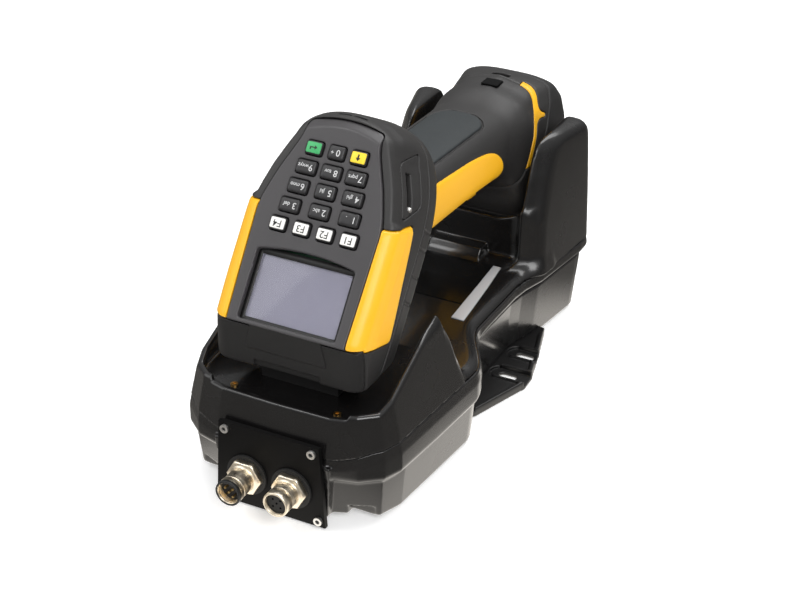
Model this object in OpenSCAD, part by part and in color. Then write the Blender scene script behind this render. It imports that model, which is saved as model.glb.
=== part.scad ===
// Cordless barcode scanner docked in its charging base station.
// X runs across the base, Y from the connector end to the ears, Z up from the table.

/* [Base station] */
// Height of the seam between the tub and the top shell
seam_z = 39; // [36:0.5:41]
// Height of the deck between the bowl and the ears
deck_z = 42; // [41:0.5:46]
// Height of the bowl floor under the scanner foot
bowl_z = 50; // [46:0.5:52]
// Height of the front lip of the bowl
lip_z = 53; // [52.5:0.5:58]
// Height of the peaks of the two side wings
wing_z = 78; // [66:1:90]
// Height of the two ears
ear_z = 103.5; // [97:0.5:108]
// Thickness of each ear at its foot
ear_t = 17; // [12:0.5:22]
// Width of the waist at the seam
waist_w = 82; // [74:1:92]
// How far the hips stand out past the bowl on each side
hip_out = 4.5; // [0:0.5:8]
// Wall of the base mouldings
base_wall = 3; // [2:0.25:4]
// How far the bowl wall leans in from the seam to its rim
wing_lean = 8.5; // [4:0.5:12]
// Thickness of the bowl wall at its rim
wing_t = 3.5; // [2:0.25:5]
// Inward draft of the tub from the belt to the bottom
tub_draft = 5; // [2:0.5:8]
// Height of the belt rib below the seam, around the bowl
belt_h = 15; // [8:0.5:16]
// Width of the chamfer along the deck
deck_chamfer = 5; // [2:0.5:8]
// Length of the base past the middle of the scanner head
base_tail = 16; // [15.5:0.5:24]
// Distance from the foot of the scanner to the front of the base
bowl_reach = 14.2; // [12:0.2:20]

/* [Connector plate] */
// Thickness of the connector plate
plate_t = 2.2; // [1.5:0.1:4]
// Height of the top edge of the connector plate
plate_top_z = 41; // [38:0.5:46]
// Width of the plate along its top edge
plate_top_w = 49.4; // [46:0.2:60]
// Width of the plate along its bottom edge
plate_low_w = 54.4; // [50:0.2:64]
// Inset of the plate screws from the edges of the plate
plate_screw_inset = 3.2; // [2.6:0.1:5]
// Distance between the two round connectors
conn_pitch = 22.2; // [20.5:0.1:24]
// Height of the round connectors
conn_z = 17; // [14:0.5:22]
// Outside diameter of the connector thread
conn_d = 12; // [11:0.5:13]
// Length of the connector thread past its flange
conn_len = 12.4; // [10:0.2:15]
// Width across the corners of the connector flange
conn_flange_w = 17.4; // [16:0.2:19]
// Thickness of the connector flange
conn_flange_t = 3; // [2:0.25:5]
// Thickness of the gasket behind the flange
gasket_t = 1; // [0.6:0.1:2]

/* [Mounting bracket] */
// How far the bracket stays inside the hips of the base on each side
bracket_in = 0.6; // [0.4:0.1:3]
// Length of the bracket along the base
bracket_len = 92; // [88:0.5:94]
// Thickness of the bracket
bracket_t = 3; // [2:0.25:4]
// Distance from the side of the bracket to the middle of its slots
slot_in = 11; // [10:0.5:12]
// Distance between slot centres along the base
slot_pitch_y = 20; // [14:0.5:21]
// End-to-end length of a screw slot
slot_len = 9; // [7:0.5:9.5]
// Width of a screw slot
slot_w = 5; // [4:0.1:5.5]

/* [Scanner foot] */
// Width of the scanner foot
foot_w = 75; // [70:0.5:80]
// Depth of the foot behind its face
foot_depth = 42; // [38:0.5:46]
// Length of the face from the end bumper to its top
foot_len = 99; // [95:0.5:104]
// Tilt of the face from the table
foot_tilt = 52.5; // [50:0.5:55]
// Where the lower edge of the face lies along the base
foot_y = -99; // [-102:0.5:-96]
// Height of the lower edge of the face
foot_z = 82.2; // [80:0.2:85]
// Height of the flat underside of the foot
foot_low_z = 61.5; // [58:0.5:64]
// Wall of the scanner mouldings
shell_wall = 2.5; // [1.8:0.1:3.2]
// Depth of the split between the front frame and the rear shell
foot_split = 26; // [24:0.5:28]
// Thickness of the face plate
face_t = 3; // [2:0.1:3.6]
// Width of the frame rim around the face plate
face_rim = 2; // [1:0.1:3]
// Width of the display opening
display_w = 47; // [42:0.5:50]
// Height of the display opening
display_h = 30; // [26:0.5:31]
// Distance from the lower edge of the face to the display
display_y = 3; // [2:0.5:5]
// Thickness of the end bumper along the base
bumper_t = 4; // [3:0.25:5]

/* [Keys] */
// Distance from the lower edge of the face to the first key row
key_row_y = 45.1; // [43:0.1:47]
// Distance between key rows
key_row_pitch = 8.75; // [8.2:0.05:9.2]
// Distance between function keys
fkey_pitch = 11.4; // [10.5:0.1:12]
// Distance between number keys in the widest row
key_pitch = 14.4; // [14:0.1:15]
// How much closer the keys stand with each row
key_fan = 1.2; // [0.9:0.05:1.2]
// Width of a number key
key_w = 9.4; // [8:0.1:9.6]
// Width of a function key and of the keys in the far row
small_key_w = 7.6; // [6.5:0.1:8.4]
// Height of a key along the face
key_h = 6; // [5:0.1:6.6]
// How far a key stands out of the face
key_rise = 1.7; // [1:0.1:2.5]
// Travel of a key
key_travel = 0.8; // [0.5:0.1:1]

/* [Handle] */
// Width of the handle
handle_w = 44; // [40:0.5:46]
// Height of the handle from the trigger side to the palm side
handle_h = 33; // [30:0.5:36]
// Slope of the handle down towards the head
handle_slope = 3.4; // [2:0.2:5]
// Height of the handle's middle at the foot end
handle_z = 105.5; // [104:0.25:107]
// Thickness of the grip pad and of the yellow bands
skin_t = 1.2; // [0.8:0.1:2]
// Width of the grip pad
grip_w = 28; // [22:0.5:32]

/* [Head] */
// Distance from the lower edge of the face to the middle of the head
gun_reach = 205; // [200:0.5:210]
// Width of the head
head_w = 63; // [58:0.5:68]
// Height of the rear face of the docked head
head_top_z = 119; // [114:0.5:124]
// Length of the head from its rear face to its nose
head_len = 105; // [100:0.5:108]
// Height of the nose bezel
bezel_h = 9; // [6:0.5:12]
// Thickness of the scan window
window_t = 2; // [1.5:0.1:3]
// Width of the yellow trim between head shell and cover
trim_t = 2.6; // [1.5:0.1:4]

/* [Trigger] */
// Width of the trigger
trigger_w = 14; // [10:0.5:18]
// Radius of the trigger pin
trigger_pin_r = 1.5; // [1:0.1:2]
// Travel of the trigger in degrees
trigger_deg = 7; // [4:0.5:9]

/* [Contacts] */
// Distance between the two charging contacts
contact_pitch = 24; // [18:0.5:30]
// Radius of a contact pin
contact_r = 1; // [0.8:0.1:1.5]
// Travel of a contact pin
contact_travel = 1.5; // [1:0.1:2.5]
// Distance between the two brass screws in the bowl
brass_pitch = 51; // [44:0.5:56]

/* [Clearances] */
// Gap between the scanner and the base around it
dock_gap = 1.5; // [1:0.1:2.5]
// Gap between mouldings that meet at a split line
split_gap = 0.2; // [0.1:0.05:0.4]
// Gap around a part that slides or turns in another
slide_gap = 0.4; // [0.3:0.05:0.6]
// Gap between a part and the seat that it rests on
seat_gap = 0.2; // [0.1:0.05:0.3]
// Radial clearance of the trigger on its pin
pin_clear = 0.15; // [0.1:0.05:0.25]

/* [Hidden] */
$fn = 32;
thin = 0.01;
far_out = 200;

// Scanner places
foot_front_y = foot_y + 1;
head_y = foot_y + gun_reach;
head_nose_z = head_top_z - head_len;
bumper_y = foot_front_y + bumper_t;

// Base plan: half widths along the base at the seam
front_y = foot_front_y - bowl_reach;
far_y = head_y + base_tail;
bowl_half = foot_w / 2 + 2 * dock_gap;
well_half = head_w / 2 + dock_gap;
near_half = bowl_half + wing_t + wing_lean;
hip_half = near_half + hip_out;
waist_half = waist_w / 2;
far_half = well_half + ear_t;
hip_y = foot_y + 72;
waist_y = foot_y + 111;
shoulder_y0 = head_y - 54;
shoulder_y1 = head_y - 2;
corner_w = 30;
corner_l = 22;
tail_w = 8;
tail_l = 8;
plan = concat(
    [for (a = [0 : 15 : 90])
        [front_y + corner_l * (1 - cos(a)), near_half - corner_w * (1 - sin(a))]],
    [[hip_y, hip_half]],
    [for (t = [0.2 : 0.2 : 1])
        [hip_y + (waist_y - hip_y) * t, waist_half + (hip_half - waist_half) * (1 + cos(180 * t)) / 2]],
    [for (t = [0 : 0.2 : 1])
        [shoulder_y0 + (shoulder_y1 - shoulder_y0) * t,
         waist_half + (far_half - waist_half) * (1 - cos(180 * t)) / 2]],
    [for (a = [0 : 30 : 90])
        [far_y - tail_l * (1 - sin(a)), far_half - tail_w * (1 - cos(a))]]);
function half_at(y) = lookup(y, plan);

// Bowl wings: rim height along the base
wing_y0 = foot_y + 2;
wing_peak_y = foot_y + 54;
wing_end_y = wing_peak_y + 12;
rim = [[front_y, lip_z + 2], [wing_y0, lip_z + 2], [wing_peak_y, wing_z],
       [wing_peak_y + 5, wing_z - 10], [wing_peak_y + 9, wing_z - 24], [wing_end_y, deck_z]];
lip_half = near_half - 19;

// Tub
foot_pad_t = 2;
tub_z = 0.6;
tub_floor_z = bracket_t + 1.5;
tub_low = [[front_y, tub_z + 2.5], [foot_y + 2, tub_z + 2], [foot_y + 14, tub_z]];
belt_far_h = 5;
belt_low = [[hip_y, seam_z - belt_h], [waist_y + 10, seam_z - belt_far_h]];
belt_step = 2;

// Lower front of the tub: a boss behind the connector plate and one facet on each side of it
facet_x = 28;
facet_y = front_y + 5;
facet_run = 2.4;
function tub_half(y) =
    min(half_at(y), y > foot_y + 14 ? half_at(y) : facet_x + belt_step + max(0, y - facet_y) * facet_run);
tub_far_wall = base_wall - 0.7;

// Well for the scanner head and the cross wall in front of it
cross_wall_z = deck_z + 22;
cross_wall_y = head_y - 33;
cross_wall_t = 4;
well_y0 = head_y - 24 - dock_gap;
well_y1 = head_y + 10 + dock_gap;
well_floor_z = head_nose_z - 3.5;
well_wall = 2;
tab_w = 28;
tab_l = 11;
tab_h = 5;

// Ear rows: drop from the top, inner inset, near inset, near outer corner, outer inset, far inset
ears_y0 = head_y - 40;
ears_y1 = far_y - 1;
ear_round = 3;
ear_corner = 4;
ear_rows = [[ear_z - seam_z - 0.6, 0, 0, [4.4, 5], 0.6, 0], [39, 0, 3.5, [6.5, 10.5], 1, 0.5],
            [18, 0, 11, [8, 18], 1.6, 1], [8, 0, 17, [9, 26], 2.2, 1.5],
            [3, 0.5, 22, [10, 32], 3.2, 2.5], [0, 2, 28, [11, 37], 6, 6]];

// Foot section rows: depth, width share, length share
foot_rows = [[0, 0.84, 0.965], [0.036, 0.905, 0.98], [0.095, 0.97, 0.99], [0.24, 1, 1],
             [0.57, 1, 1], [0.81, 0.985, 0.99], [1, 0.93, 0.955]];
foot_waist_y = 45;
foot_corner_r = 6;
foot_corner_x = foot_w * 0.48 - foot_corner_r;
face_power = 0.85;
face_low = 0.4;
band_y0 = -1.5;
band_y1 = 52;
band_rake = 8;
band_low_y = 9.5;
band_far_z = -15;
band_low_z = -foot_split + 1.6;

// Handle section rows: distance from the foot end, extra half width, extra palm side, extra trigger side
handle_y0 = foot_y + 54;
handle_rows = [[0, 0, 0.5, 0.5], [60, 0, 0, 0], [95, 0.5, 0, 0], [117, 1.5, 0, 1],
               [129, 3, 0.5, 7], [138, 4.5, 1, 15]];
handle_power = 0.7;
grip_tip = 124;
grip_start = 30;

// Head section rows: drop from the rear face, near inset, far inset, near edge, far edge
head_rows = [[head_len, 3.5, 2.5, -18, 9], [head_len - 16, 2, 1, -20, 9.5], [71, 1.5, 0.5, -22, 10],
             [53, 2.5, 0, -24, 18], [37, 4.5, 0, -24, 23], [22, 6.5, 0, -23, 25.5], [12, 9, 1.5, -19, 26],
             [6, 12.5, 4.5, -14, 24.5], [2, 17.5, 9.5, -8.5, 20], [0, 22.5, 17.5, -4, 14]];
head_split_y = head_y + 5;
head_split_z = head_top_z - 1.3;
head_split_deg = 55;
cover_t = 11;
trim_x = 12;
bezel_top_z = head_nose_z + bezel_h;

// Trigger
trigger_y = head_y - 29;
trigger_z = handle_z - 19.5;
trigger_boss_r = 3.6;
trigger_reach = 25;
trigger_drop = 14;
lug_t = 4;

// Contact block
contact_y = foot_y + 21;
block_w = contact_pitch + 14;
block_l = 18;
pad_t = 0.8;
pad_r = 3;
pin_top_z = foot_low_z - seat_gap;
brass_y = foot_y - 0.5;
brass_r = 1.7;

// Boards
board_t = 1.6;
board_z = 15;
standoff_r = 3;

// Keys
face_seat_z = -face_t - 0.1;
flange_t = 0.9;
flange_out = 0.7;
mat_top_z = face_seat_z - flange_t - key_travel - 0.2;
mat_t = 3;
main_board_z = mat_top_z - mat_t - 0.1;
key_rows_n = 5;
key_spots = [[0, -1.5], [0, -0.5], [0, 0.5], [0, 1.5], [1, -1], [1, 0], [1, 1], [2, -1], [2, 0], [2, 1],
             [3, -1], [3, 0], [3, 1], [4, -1], [4, 0], [4, 1]];
function row_pitch(row) = row == 0 ? fkey_pitch : key_pitch - (row - 1) * key_fan;
function row_key_w(row) = row == 0 || row == key_rows_n - 1 ? small_key_w : key_w;
function key_x(spot) = spot[1] * row_pitch(spot[0]);
function key_y(spot) = key_row_y + spot[0] * key_row_pitch;

// Shared shapes

function trap(low, z0, top, z1) = [[-low, z0], [low, z0], [top, z1], [-top, z1]];
function power(v, e) = sign(v) * pow(abs(v), e);

// One closed skin through a section at each station along the base
module loft(stations, section) {
    n = len(section(stations[0]));
    m = len(stations);
    points = [for (y = stations) for (p = section(y)) [p[0], y, p[1]]];
    near_cap = [for (j = [n - 1 : -1 : 0]) j];
    far_cap = [for (j = [0 : n - 1]) (m - 1) * n + j];
    skin = [for (i = [0 : m - 2]) for (j = [0 : n - 1])
        let (a = i * n + j, b = i * n + (j + 1) % n)
        each [[a, b, b + n], [a, b + n, a + n]]];
    polyhedron(points, concat([near_cap, far_cap], skin));
}

module block(low, high) {
    translate(low)
        cube(high - low);
}

module both_sides() {
    children();
    mirror([1, 0, 0])
        children();
}

// The frame of the scanner face: X across, Y up the face, Z out of the face
module face_frame() {
    translate([0, foot_y, foot_z])
        rotate([foot_tilt, 0, 0])
            children();
}

// The frame of the handle: Y along the handle towards the head
module handle_frame() {
    translate([0, handle_y0, handle_z])
        rotate([-handle_slope, 0, 0])
            children();
}

// Base tub

module tub_outer() {
    ys = [for (p = plan) p[0]];
    loft(ys, function (y)
        trap(tub_half(y) - tub_draft, lookup(y, tub_low), tub_half(y) - belt_step, seam_z - 1));
    loft(ys, function (y) belt_section(half_at(y), lookup(y, belt_low)));
}

function belt_section(half, low) =
    [[-half + 3, low - 1.5], [half - 3, low - 1.5], [half, low + 0.5],
     [half, seam_z - split_gap], [-half, seam_z - split_gap], [-half, low + 0.5]];

module tub_inner() {
    ys = concat([for (p = plan) if (p[0] > front_y + 2 * base_wall && p[0] < far_y - base_wall) p[0]],
                [far_y - tub_far_wall]);
    loft(ys, function (y)
        trap(tub_half(y) - tub_draft - base_wall, max(tub_floor_z, lookup(y, tub_low) + base_wall),
             tub_half(y) - base_wall - belt_step, seam_z + 1));
}

screw_spots = [[bowl_half - 5, foot_y + 22, bowl_z - 1.5], [bowl_half - 5, foot_y + 58, bowl_z - 1.5],
               [well_half - 4, head_y - 37.5, deck_z - 0.5]];
screw_r = 1.5;
screw_head_r = 3;
boss_r = 4.5;
foot_pad_r = 7;
pad_spots = [[near_half - 17, foot_y + 40], [far_half - 16, head_y + 1]];

module at_each(spots) {
    for (s = spots)
        both_sides()
            translate([s[0], s[1], 0])
                children();
}

module connector_ports(r) {
    for (s = [-1, 1])
        translate([s * conn_pitch / 2, front_y, conn_z])
            rotate([90, 0, 0])
                cylinder(r = r, h = 60, center = true);
}

module base_tub() {
    color("dimgray")
        difference() {
            union() {
                difference() {
                    tub_outer();
                    tub_inner();
                }
                at_each(screw_spots)
                    translate([0, 0, tub_z + 1])
                        cylinder(r = boss_r, h = seam_z - tub_z - 1.4);
                for (x = [-1, 1], y = [-1, 1])
                    translate([x * board_hole_x, board_y + y * board_hole_y, tub_z + 3])
                        cylinder(r = standoff_r, h = board_z - seat_gap - tub_z - 3);
            }
            at_each(screw_spots) {
                cylinder(r = screw_r + slide_gap, h = far_out);
                translate([0, 0, -1])
                    cylinder(r = screw_head_r + slide_gap, h = bracket_t + 3);
            }
            at_each(pad_spots)
                translate([0, 0, -1])
                    cylinder(r = foot_pad_r + split_gap, h = foot_pad_t + 1 + seat_gap);
            translate([0, 0, -1])
                linear_extrude(bracket_t + 1 + seat_gap)
                    offset(delta = split_gap)
                        bracket_outline();
            connector_ports(conn_flange_w / 2 + 1);
        }
}

board_w = 58;
board_l = 100;
board_y = foot_y + 84;
board_hole_x = board_w / 2 - 5;
board_hole_y = board_l / 2 - 5;
bracket_y0 = foot_y + 87;
bracket_y1 = bracket_y0 + bracket_len;

// Base top shell

top_stations = concat([for (a = [0 : 15 : 60]) front_y + corner_l * (1 - cos(a))],
    [wing_y0, front_y + corner_l, wing_peak_y, wing_peak_y + 5, wing_peak_y + 9, wing_end_y],
    [for (p = plan) if (p[0] > wing_end_y) p[0]]);

// How far the bowl wall leans in at a height
function lean_at(z) = wing_lean * (z - seam_z) / (wing_z - seam_z);

module top_outer() {
    loft(top_stations, function (y)
        let (high = lookup(y, rim), lean = y < wing_end_y ? lean_at(high) : deck_chamfer)
        trap(half_at(y), seam_z, half_at(y) - lean, high));
}

module bowl_space() {
    ys = [for (y = [front_y + 4.5 : 6 : wing_end_y + 4]) y];
    loft(ys, function (y)
        trap(half_at(y) - lean_at(bowl_z) - wing_t, bowl_z, half_at(y) - wing_lean - wing_t, wing_z));
    block([-lip_half, front_y - 1, lip_z], [lip_half, front_y + 12, wing_z]);
}

module ear_slice(row, inset) {
    x0 = well_half + row[1];
    x1 = far_half - row[4];
    y1 = ears_y1 - row[5];
    low = row == ear_rows[0] && inset > 0;
    translate([0, 0, low ? seam_z - 1 : ear_z - row[0] - (row[0] == 0 ? inset : 0)])
        linear_extrude(thin)
            offset(r = ear_round)
                offset(delta = -ear_round - inset)
                    polygon([[x0, ears_y0 + row[2]], [far_half - row[3][0], ears_y0 + row[3][1]],
                             [x1, y1 - ear_corner], [x1 - ear_corner, y1], [x0, y1]]);
}

module ear(inset) {
    for (i = [0 : len(ear_rows) - 2])
        hull() {
            ear_slice(ear_rows[i], inset);
            ear_slice(ear_rows[i + 1], inset);
        }
}

module top_cavity() {
    ys = [for (y = top_stations) if (y > front_y + base_wall && y < far_y - base_wall) y];
    loft(ys, function (y)
        trap(half_at(y) - base_wall, seam_z - 1, half_at(y) - base_wall - 3,
             max(seam_z + 0.2, min(bowl_z, lookup(y, rim)) - base_wall)));
}

module base_top() {
    color("dimgray")
        difference() {
            union() {
                difference() {
                    union() {
                        difference() {
                            top_outer();
                            bowl_space();
                            top_cavity();
                        }
                        both_sides()
                            ear(0);
                    }
                    both_sides()
                        ear(base_wall);
                }
                block([-well_half - 1, cross_wall_y, deck_z - 1],
                      [well_half + 1, cross_wall_y + cross_wall_t, cross_wall_z]);
                hull() {
                    block([-tab_w / 2, cross_wall_y - tab_l, deck_z - 1],
                          [tab_w / 2, cross_wall_y + 1, deck_z + 1]);
                    block([-tab_w / 2, cross_wall_y - tab_l / 2, deck_z],
                          [tab_w / 2, cross_wall_y + 1, deck_z + tab_h]);
                }
                block([-well_half - well_wall, well_y0 - well_wall, well_floor_z],
                      [well_half + well_wall, well_y1 + well_wall, deck_z - 1]);
                for (s = screw_spots)
                    both_sides()
                        translate([s[0], s[1], seam_z + 0.3])
                            cylinder(r = boss_r, h = s[2] - seam_z - 0.3);
            }
            block([-well_half, well_y0, well_floor_z + well_wall], [well_half, well_y1, ear_z + 1]);
            block([-well_half, well_y0, deck_z], [well_half, far_y + 1, ear_z + 1]);
            for (s = screw_spots)
                both_sides()
                    translate([s[0], s[1], 0])
                        cylinder(r = screw_r + split_gap, h = s[2] - 1);
            block([-block_w / 2 + 1, contact_y - block_l / 2 + 1, bowl_z - 5],
                  [block_w / 2 - 1, contact_y + block_l / 2 - 1, bowl_z + 1]);
            for (s = [-1, 1])
                translate([s * brass_pitch / 2, brass_y, bowl_z - 9])
                    cylinder(r = brass_r + split_gap, h = 12);
        }
}

// Base fittings

label_w = 52;
label_l = 40;
label_t = 0.4;
label_y = foot_y + 140;

module deck_label() {
    color("black")
        block([-label_w / 2, label_y - label_l / 2, deck_z + 0.02],
              [label_w / 2, label_y + label_l / 2, deck_z + label_t]);
}

plate_low_z = 0.8;
plate_y = front_y - plate_t - split_gap;
plate_screw_r = 1.4;
plate_screw_head_r = 2;
plate_screw_spots = [[plate_top_w / 2 - plate_screw_inset, plate_top_z - plate_screw_inset],
                     [plate_low_w / 2 - plate_screw_inset, plate_low_z + plate_screw_inset]];
conn_bore_r = conn_d / 2 + 0.2;

module facing_out(x, z, y) {
    translate([x, y, z])
        rotate([90, 0, 0])
            children();
}

module connector_plate() {
    color("black")
        difference() {
            facing_out(0, 0, front_y - split_gap)
                linear_extrude(plate_t)
                    polygon([[-plate_low_w / 2, plate_low_z], [plate_low_w / 2, plate_low_z],
                             [plate_top_w / 2, plate_top_z], [-plate_top_w / 2, plate_top_z]]);
            for (s = [-1, 1])
                facing_out(s * conn_pitch / 2, conn_z, front_y + 1)
                    cylinder(r = conn_bore_r, h = plate_t + 3);
            for (s = [-1, 1], p = plate_screw_spots)
                facing_out(s * p[0], p[1], front_y + 1)
                    cylinder(r = plate_screw_r + split_gap, h = plate_t + 3);
        }
}

module plate_screws() {
    color("silver")
        for (s = [-1, 1], p = plate_screw_spots)
            difference() {
                union() {
                    facing_out(s * p[0], p[1], plate_y - 0.02)
                        cylinder(r = plate_screw_head_r, h = 1.3);
                    facing_out(s * p[0], p[1], front_y - 0.05)
                        cylinder(r = plate_screw_r, h = plate_t + split_gap + 0.5);
                }
                facing_out(s * p[0], p[1], plate_y - 0.7)
                    cylinder(r = 1.1, h = 2, $fn = 6);
            }
}

conn_flange_y = plate_y - gasket_t;
conn_tip_y = conn_flange_y - conn_flange_t - conn_len;
conn_inner_r = conn_d / 2 - 1;
insert_r = conn_inner_r - 0.1;
male_face_y = conn_tip_y + 3.5;
female_face_y = conn_tip_y + 1.5;
female_trim = 2;

module m12_shell(x, tip_y) {
    difference() {
        union() {
            facing_out(x, conn_z, conn_flange_y - 0.02)
                cylinder(r = conn_flange_w / 2, h = conn_flange_t, $fn = 6);
            facing_out(x, conn_z, front_y + 6)
                cylinder(r = conn_d / 2, h = front_y + 6 - tip_y);
        }
        facing_out(x, conn_z, front_y + 7)
            cylinder(r = conn_inner_r, h = 40);
    }
}

module m12_shells() {
    color("silver") {
        m12_shell(-conn_pitch / 2, conn_tip_y);
        m12_shell(conn_pitch / 2, conn_tip_y + female_trim);
    }
}

module m12_gaskets() {
    color("black")
        for (s = [-1, 1])
            facing_out(s * conn_pitch / 2, conn_z, plate_y - 0.01)
                difference() {
                    cylinder(r = conn_flange_w / 2 + 1, h = gasket_t);
                    translate([0, 0, -1])
                        cylinder(r = conn_bore_r, h = gasket_t + 2);
                }
}

insert_spots = concat([[0, 0]], [for (a = [45 : 90 : 315]) [2.6 * cos(a), 2.6 * sin(a)]]);
contact_hole_r = 0.55;

module m12_insert(x, face_y) {
    difference() {
        facing_out(x, conn_z, front_y + 5)
            cylinder(r = insert_r, h = front_y + 5 - face_y);
        for (p = insert_spots)
            facing_out(x + p[0], conn_z + p[1], face_y + 9)
                cylinder(r = contact_hole_r, h = 10);
    }
}

module m12_inserts() {
    color("black") {
        m12_insert(-conn_pitch / 2, male_face_y);
        m12_insert(conn_pitch / 2, female_face_y + female_trim);
    }
}

module m12_pins() {
    color("gold")
        for (p = insert_spots)
            facing_out(-conn_pitch / 2 + p[0], conn_z + p[1], male_face_y + 8)
                cylinder(r = contact_hole_r - 0.05, h = 8 + 2.5);
}

module bracket_outline() {
    near = 13;
    half = hip_half - bracket_in;
    polygon([for (s = [1, -1]) each s > 0 ?
        [[half - near, bracket_y0], [half, bracket_y0 + 40], [half - 0.5, bracket_y0 + 48],
         [half - 6, bracket_y1 - 23], [half - near, bracket_y1]] :
        [[-half + near, bracket_y1], [-half + 6, bracket_y1 - 23], [-half + 0.5, bracket_y0 + 48],
         [-half, bracket_y0 + 40], [-half + near, bracket_y0]]]);
}

module wall_bracket() {
    color("black")
        difference() {
            linear_extrude(bracket_t)
                bracket_outline();
            for (x = [-1, 1], y = [-1, 1])
                translate([x * (hip_half - bracket_in - slot_in), slot_mid_y + y * slot_pitch_y / 2, -1])
                    slot(slot_len, slot_w, bracket_t + 2);
        }
}
slot_mid_y = bracket_y0 + 54;

module slot(l, w, h) {
    block([-l / 2 + w / 2, -w / 2, 0], [l / 2 - w / 2, w / 2, h]);
    for (s = [-1, 1])
        translate([s * (l - w) / 2, 0, 0])
            cylinder(r = w / 2, h = h);
}

module rubber_feet() {
    color("black")
        at_each(pad_spots)
            cylinder(r = foot_pad_r, h = foot_pad_t);
}

module base_screws() {
    color("silver")
        for (s = screw_spots)
            both_sides()
                translate([s[0], s[1], bracket_t]) {
                    cylinder(r = screw_head_r, h = 1.8);
                    cylinder(r = screw_r, h = s[2] - bracket_t - 1.5);
                }
}

module base_board() {
    color("darkgreen")
        difference() {
            block([-board_w / 2, board_y - board_l / 2, board_z],
                  [board_w / 2, board_y + board_l / 2, board_z + board_t]);
            for (x = [-1, 1], y = [-1, 1])
                translate([x * board_hole_x, board_y + y * board_hole_y, board_z - 1])
                    cylinder(r = 1.6, h = board_t + 2);
        }
}

collar_out = 0.8;
block_top_z = foot_low_z - seat_gap - contact_travel - 0.3;

module contact_block() {
    color("black")
        difference() {
            union() {
                block([-block_w / 2, contact_y - block_l / 2, bowl_z + 0.02],
                      [block_w / 2, contact_y + block_l / 2, block_top_z]);
                block([-block_w / 2 + 2, contact_y - block_l / 2 + 2, bowl_z - 4],
                      [block_w / 2 - 2, contact_y + block_l / 2 - 2, bowl_z + 1]);
            }
            for (s = [-1, 1])
                translate([s * contact_pitch / 2, contact_y, bowl_z - 5]) {
                    cylinder(r = contact_r + slide_gap, h = 30);
                    cylinder(r = contact_r + collar_out + slide_gap, h = block_top_z - bowl_z + 5 - 1.5);
                }
        }
}

module contact_pin(side) {
    color("gold")
        translate([side * contact_pitch / 2, contact_y, 0]) {
            translate([0, 0, bowl_z - 3])
                cylinder(r = contact_r, h = pin_top_z - bowl_z + 3);
            translate([0, 0, bowl_z])
                cylinder(r = contact_r + collar_out, h = block_top_z - 1.8 - bowl_z);
        }
}

module contact_pin_left() {
    contact_pin(-1);
}

module contact_pin_right() {
    contact_pin(1);
}

module brass_screws() {
    color("gold")
        for (s = [-1, 1])
            translate([s * brass_pitch / 2, brass_y, bowl_z - 3])
                difference() {
                    cylinder(r = brass_r, h = 3.8);
                    translate([0, 0, 3.3])
                        cylinder(r = 0.8, h = 1, $fn = 6);
                }
}

module nose_pad() {
    color("black")
        block([-well_half + 6, head_y - 16, well_floor_z + well_wall + 0.02],
              [well_half - 6, head_y + 9, head_nose_z - seat_gap]);
}

// Scanner foot

function foot_outline(inset, width, length, low) =
    let (half = foot_w / 2 * width - inset, top = foot_len * length - inset)
    concat([for (a = [0 : 10 : 180])
                [half * power(cos(a), face_power),
                 foot_waist_y + (top - foot_waist_y) * power(sin(a), face_power)]],
           [[-half, 20], [-half + 1.5, low], [half - 1.5, low], [half, 20]]);

module foot_slice(row, inset) {
    depth = row[0] == 0 ? inset : row[0] == 1 ? foot_depth - inset : max(row[0] * foot_depth, inset);
    translate([0, 0, -depth - thin])
        linear_extrude(thin)
            polygon(foot_outline(inset, row[1], row[2], -45));
}

module foot_solid(inset) {
    intersection() {
        face_frame()
            for (i = [0 : len(foot_rows) - 2])
                hull() {
                    foot_slice(foot_rows[i], inset);
                    foot_slice(foot_rows[i + 1], inset);
                }
        hull() {
            for (s = [-1, 1]) {
                translate([s * foot_corner_x, foot_front_y + foot_corner_r, foot_low_z + inset])
                    cylinder(r = foot_corner_r - inset, h = far_out);
                translate([s * foot_w, foot_front_y + 40, foot_low_z + inset])
                    cylinder(r = 1, h = far_out);
                translate([s * foot_w, foot_front_y + 160, foot_low_z + inset])
                    cylinder(r = 1, h = far_out);
            }
        }
    }
}

module foot_shell() {
    difference() {
        foot_solid(0);
        foot_solid(shell_wall);
    }
}

// The part of the foot's front below the face that the end bumper takes
module bumper_space(gap) {
    block([-far_out, foot_front_y - 50, 0], [far_out, bumper_y - gap, foot_z - 0.6 - gap]);
}

// The two side openings of the frame that the yellow bands fill
module band_space(gap) {
    both_sides()
        face_frame()
            translate([12, 0, 0])
                rotate([90, 0, 90])
                    linear_extrude(60)
                        polygon([[band_y0 + gap, 2], [band_y1 - gap, 2],
                                 [band_y1 + band_rake - gap, band_far_z + gap],
                                 [band_low_y + gap, band_low_z + gap]]);
}

module lanyard_space(gap) {
    face_frame()
        block([10, 63 + gap, -22 + gap], [60, 81 - gap, -6 - gap]);
}

// The opening of the front frame that the face plate fills
module face_opening() {
    face_frame()
        translate([0, 0, -face_t - 2])
            linear_extrude(face_t + 4)
                polygon(foot_outline(face_rim, foot_rows[0][1], foot_rows[0][2], -45));
}

module foot_depth_range(z0, z1) {
    face_frame()
        block([-far_out, -far_out, z0], [far_out, far_out, z1]);
}

module foot_rear_shell() {
    color("dimgray")
        difference() {
            intersection() {
                foot_shell();
                foot_depth_range(-far_out, -foot_split - split_gap / 2);
            }
            bumper_space(-split_gap);
            handle_frame()
                rotate([90, 0, 0])
                    cylinder(r = 11, h = far_out, center = true);
            charge_pad_spots()
                translate([0, 0, foot_low_z - 1])
                    cylinder(r = pad_r + split_gap, h = pad_t + 1 + 0.02);
        }
}

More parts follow.
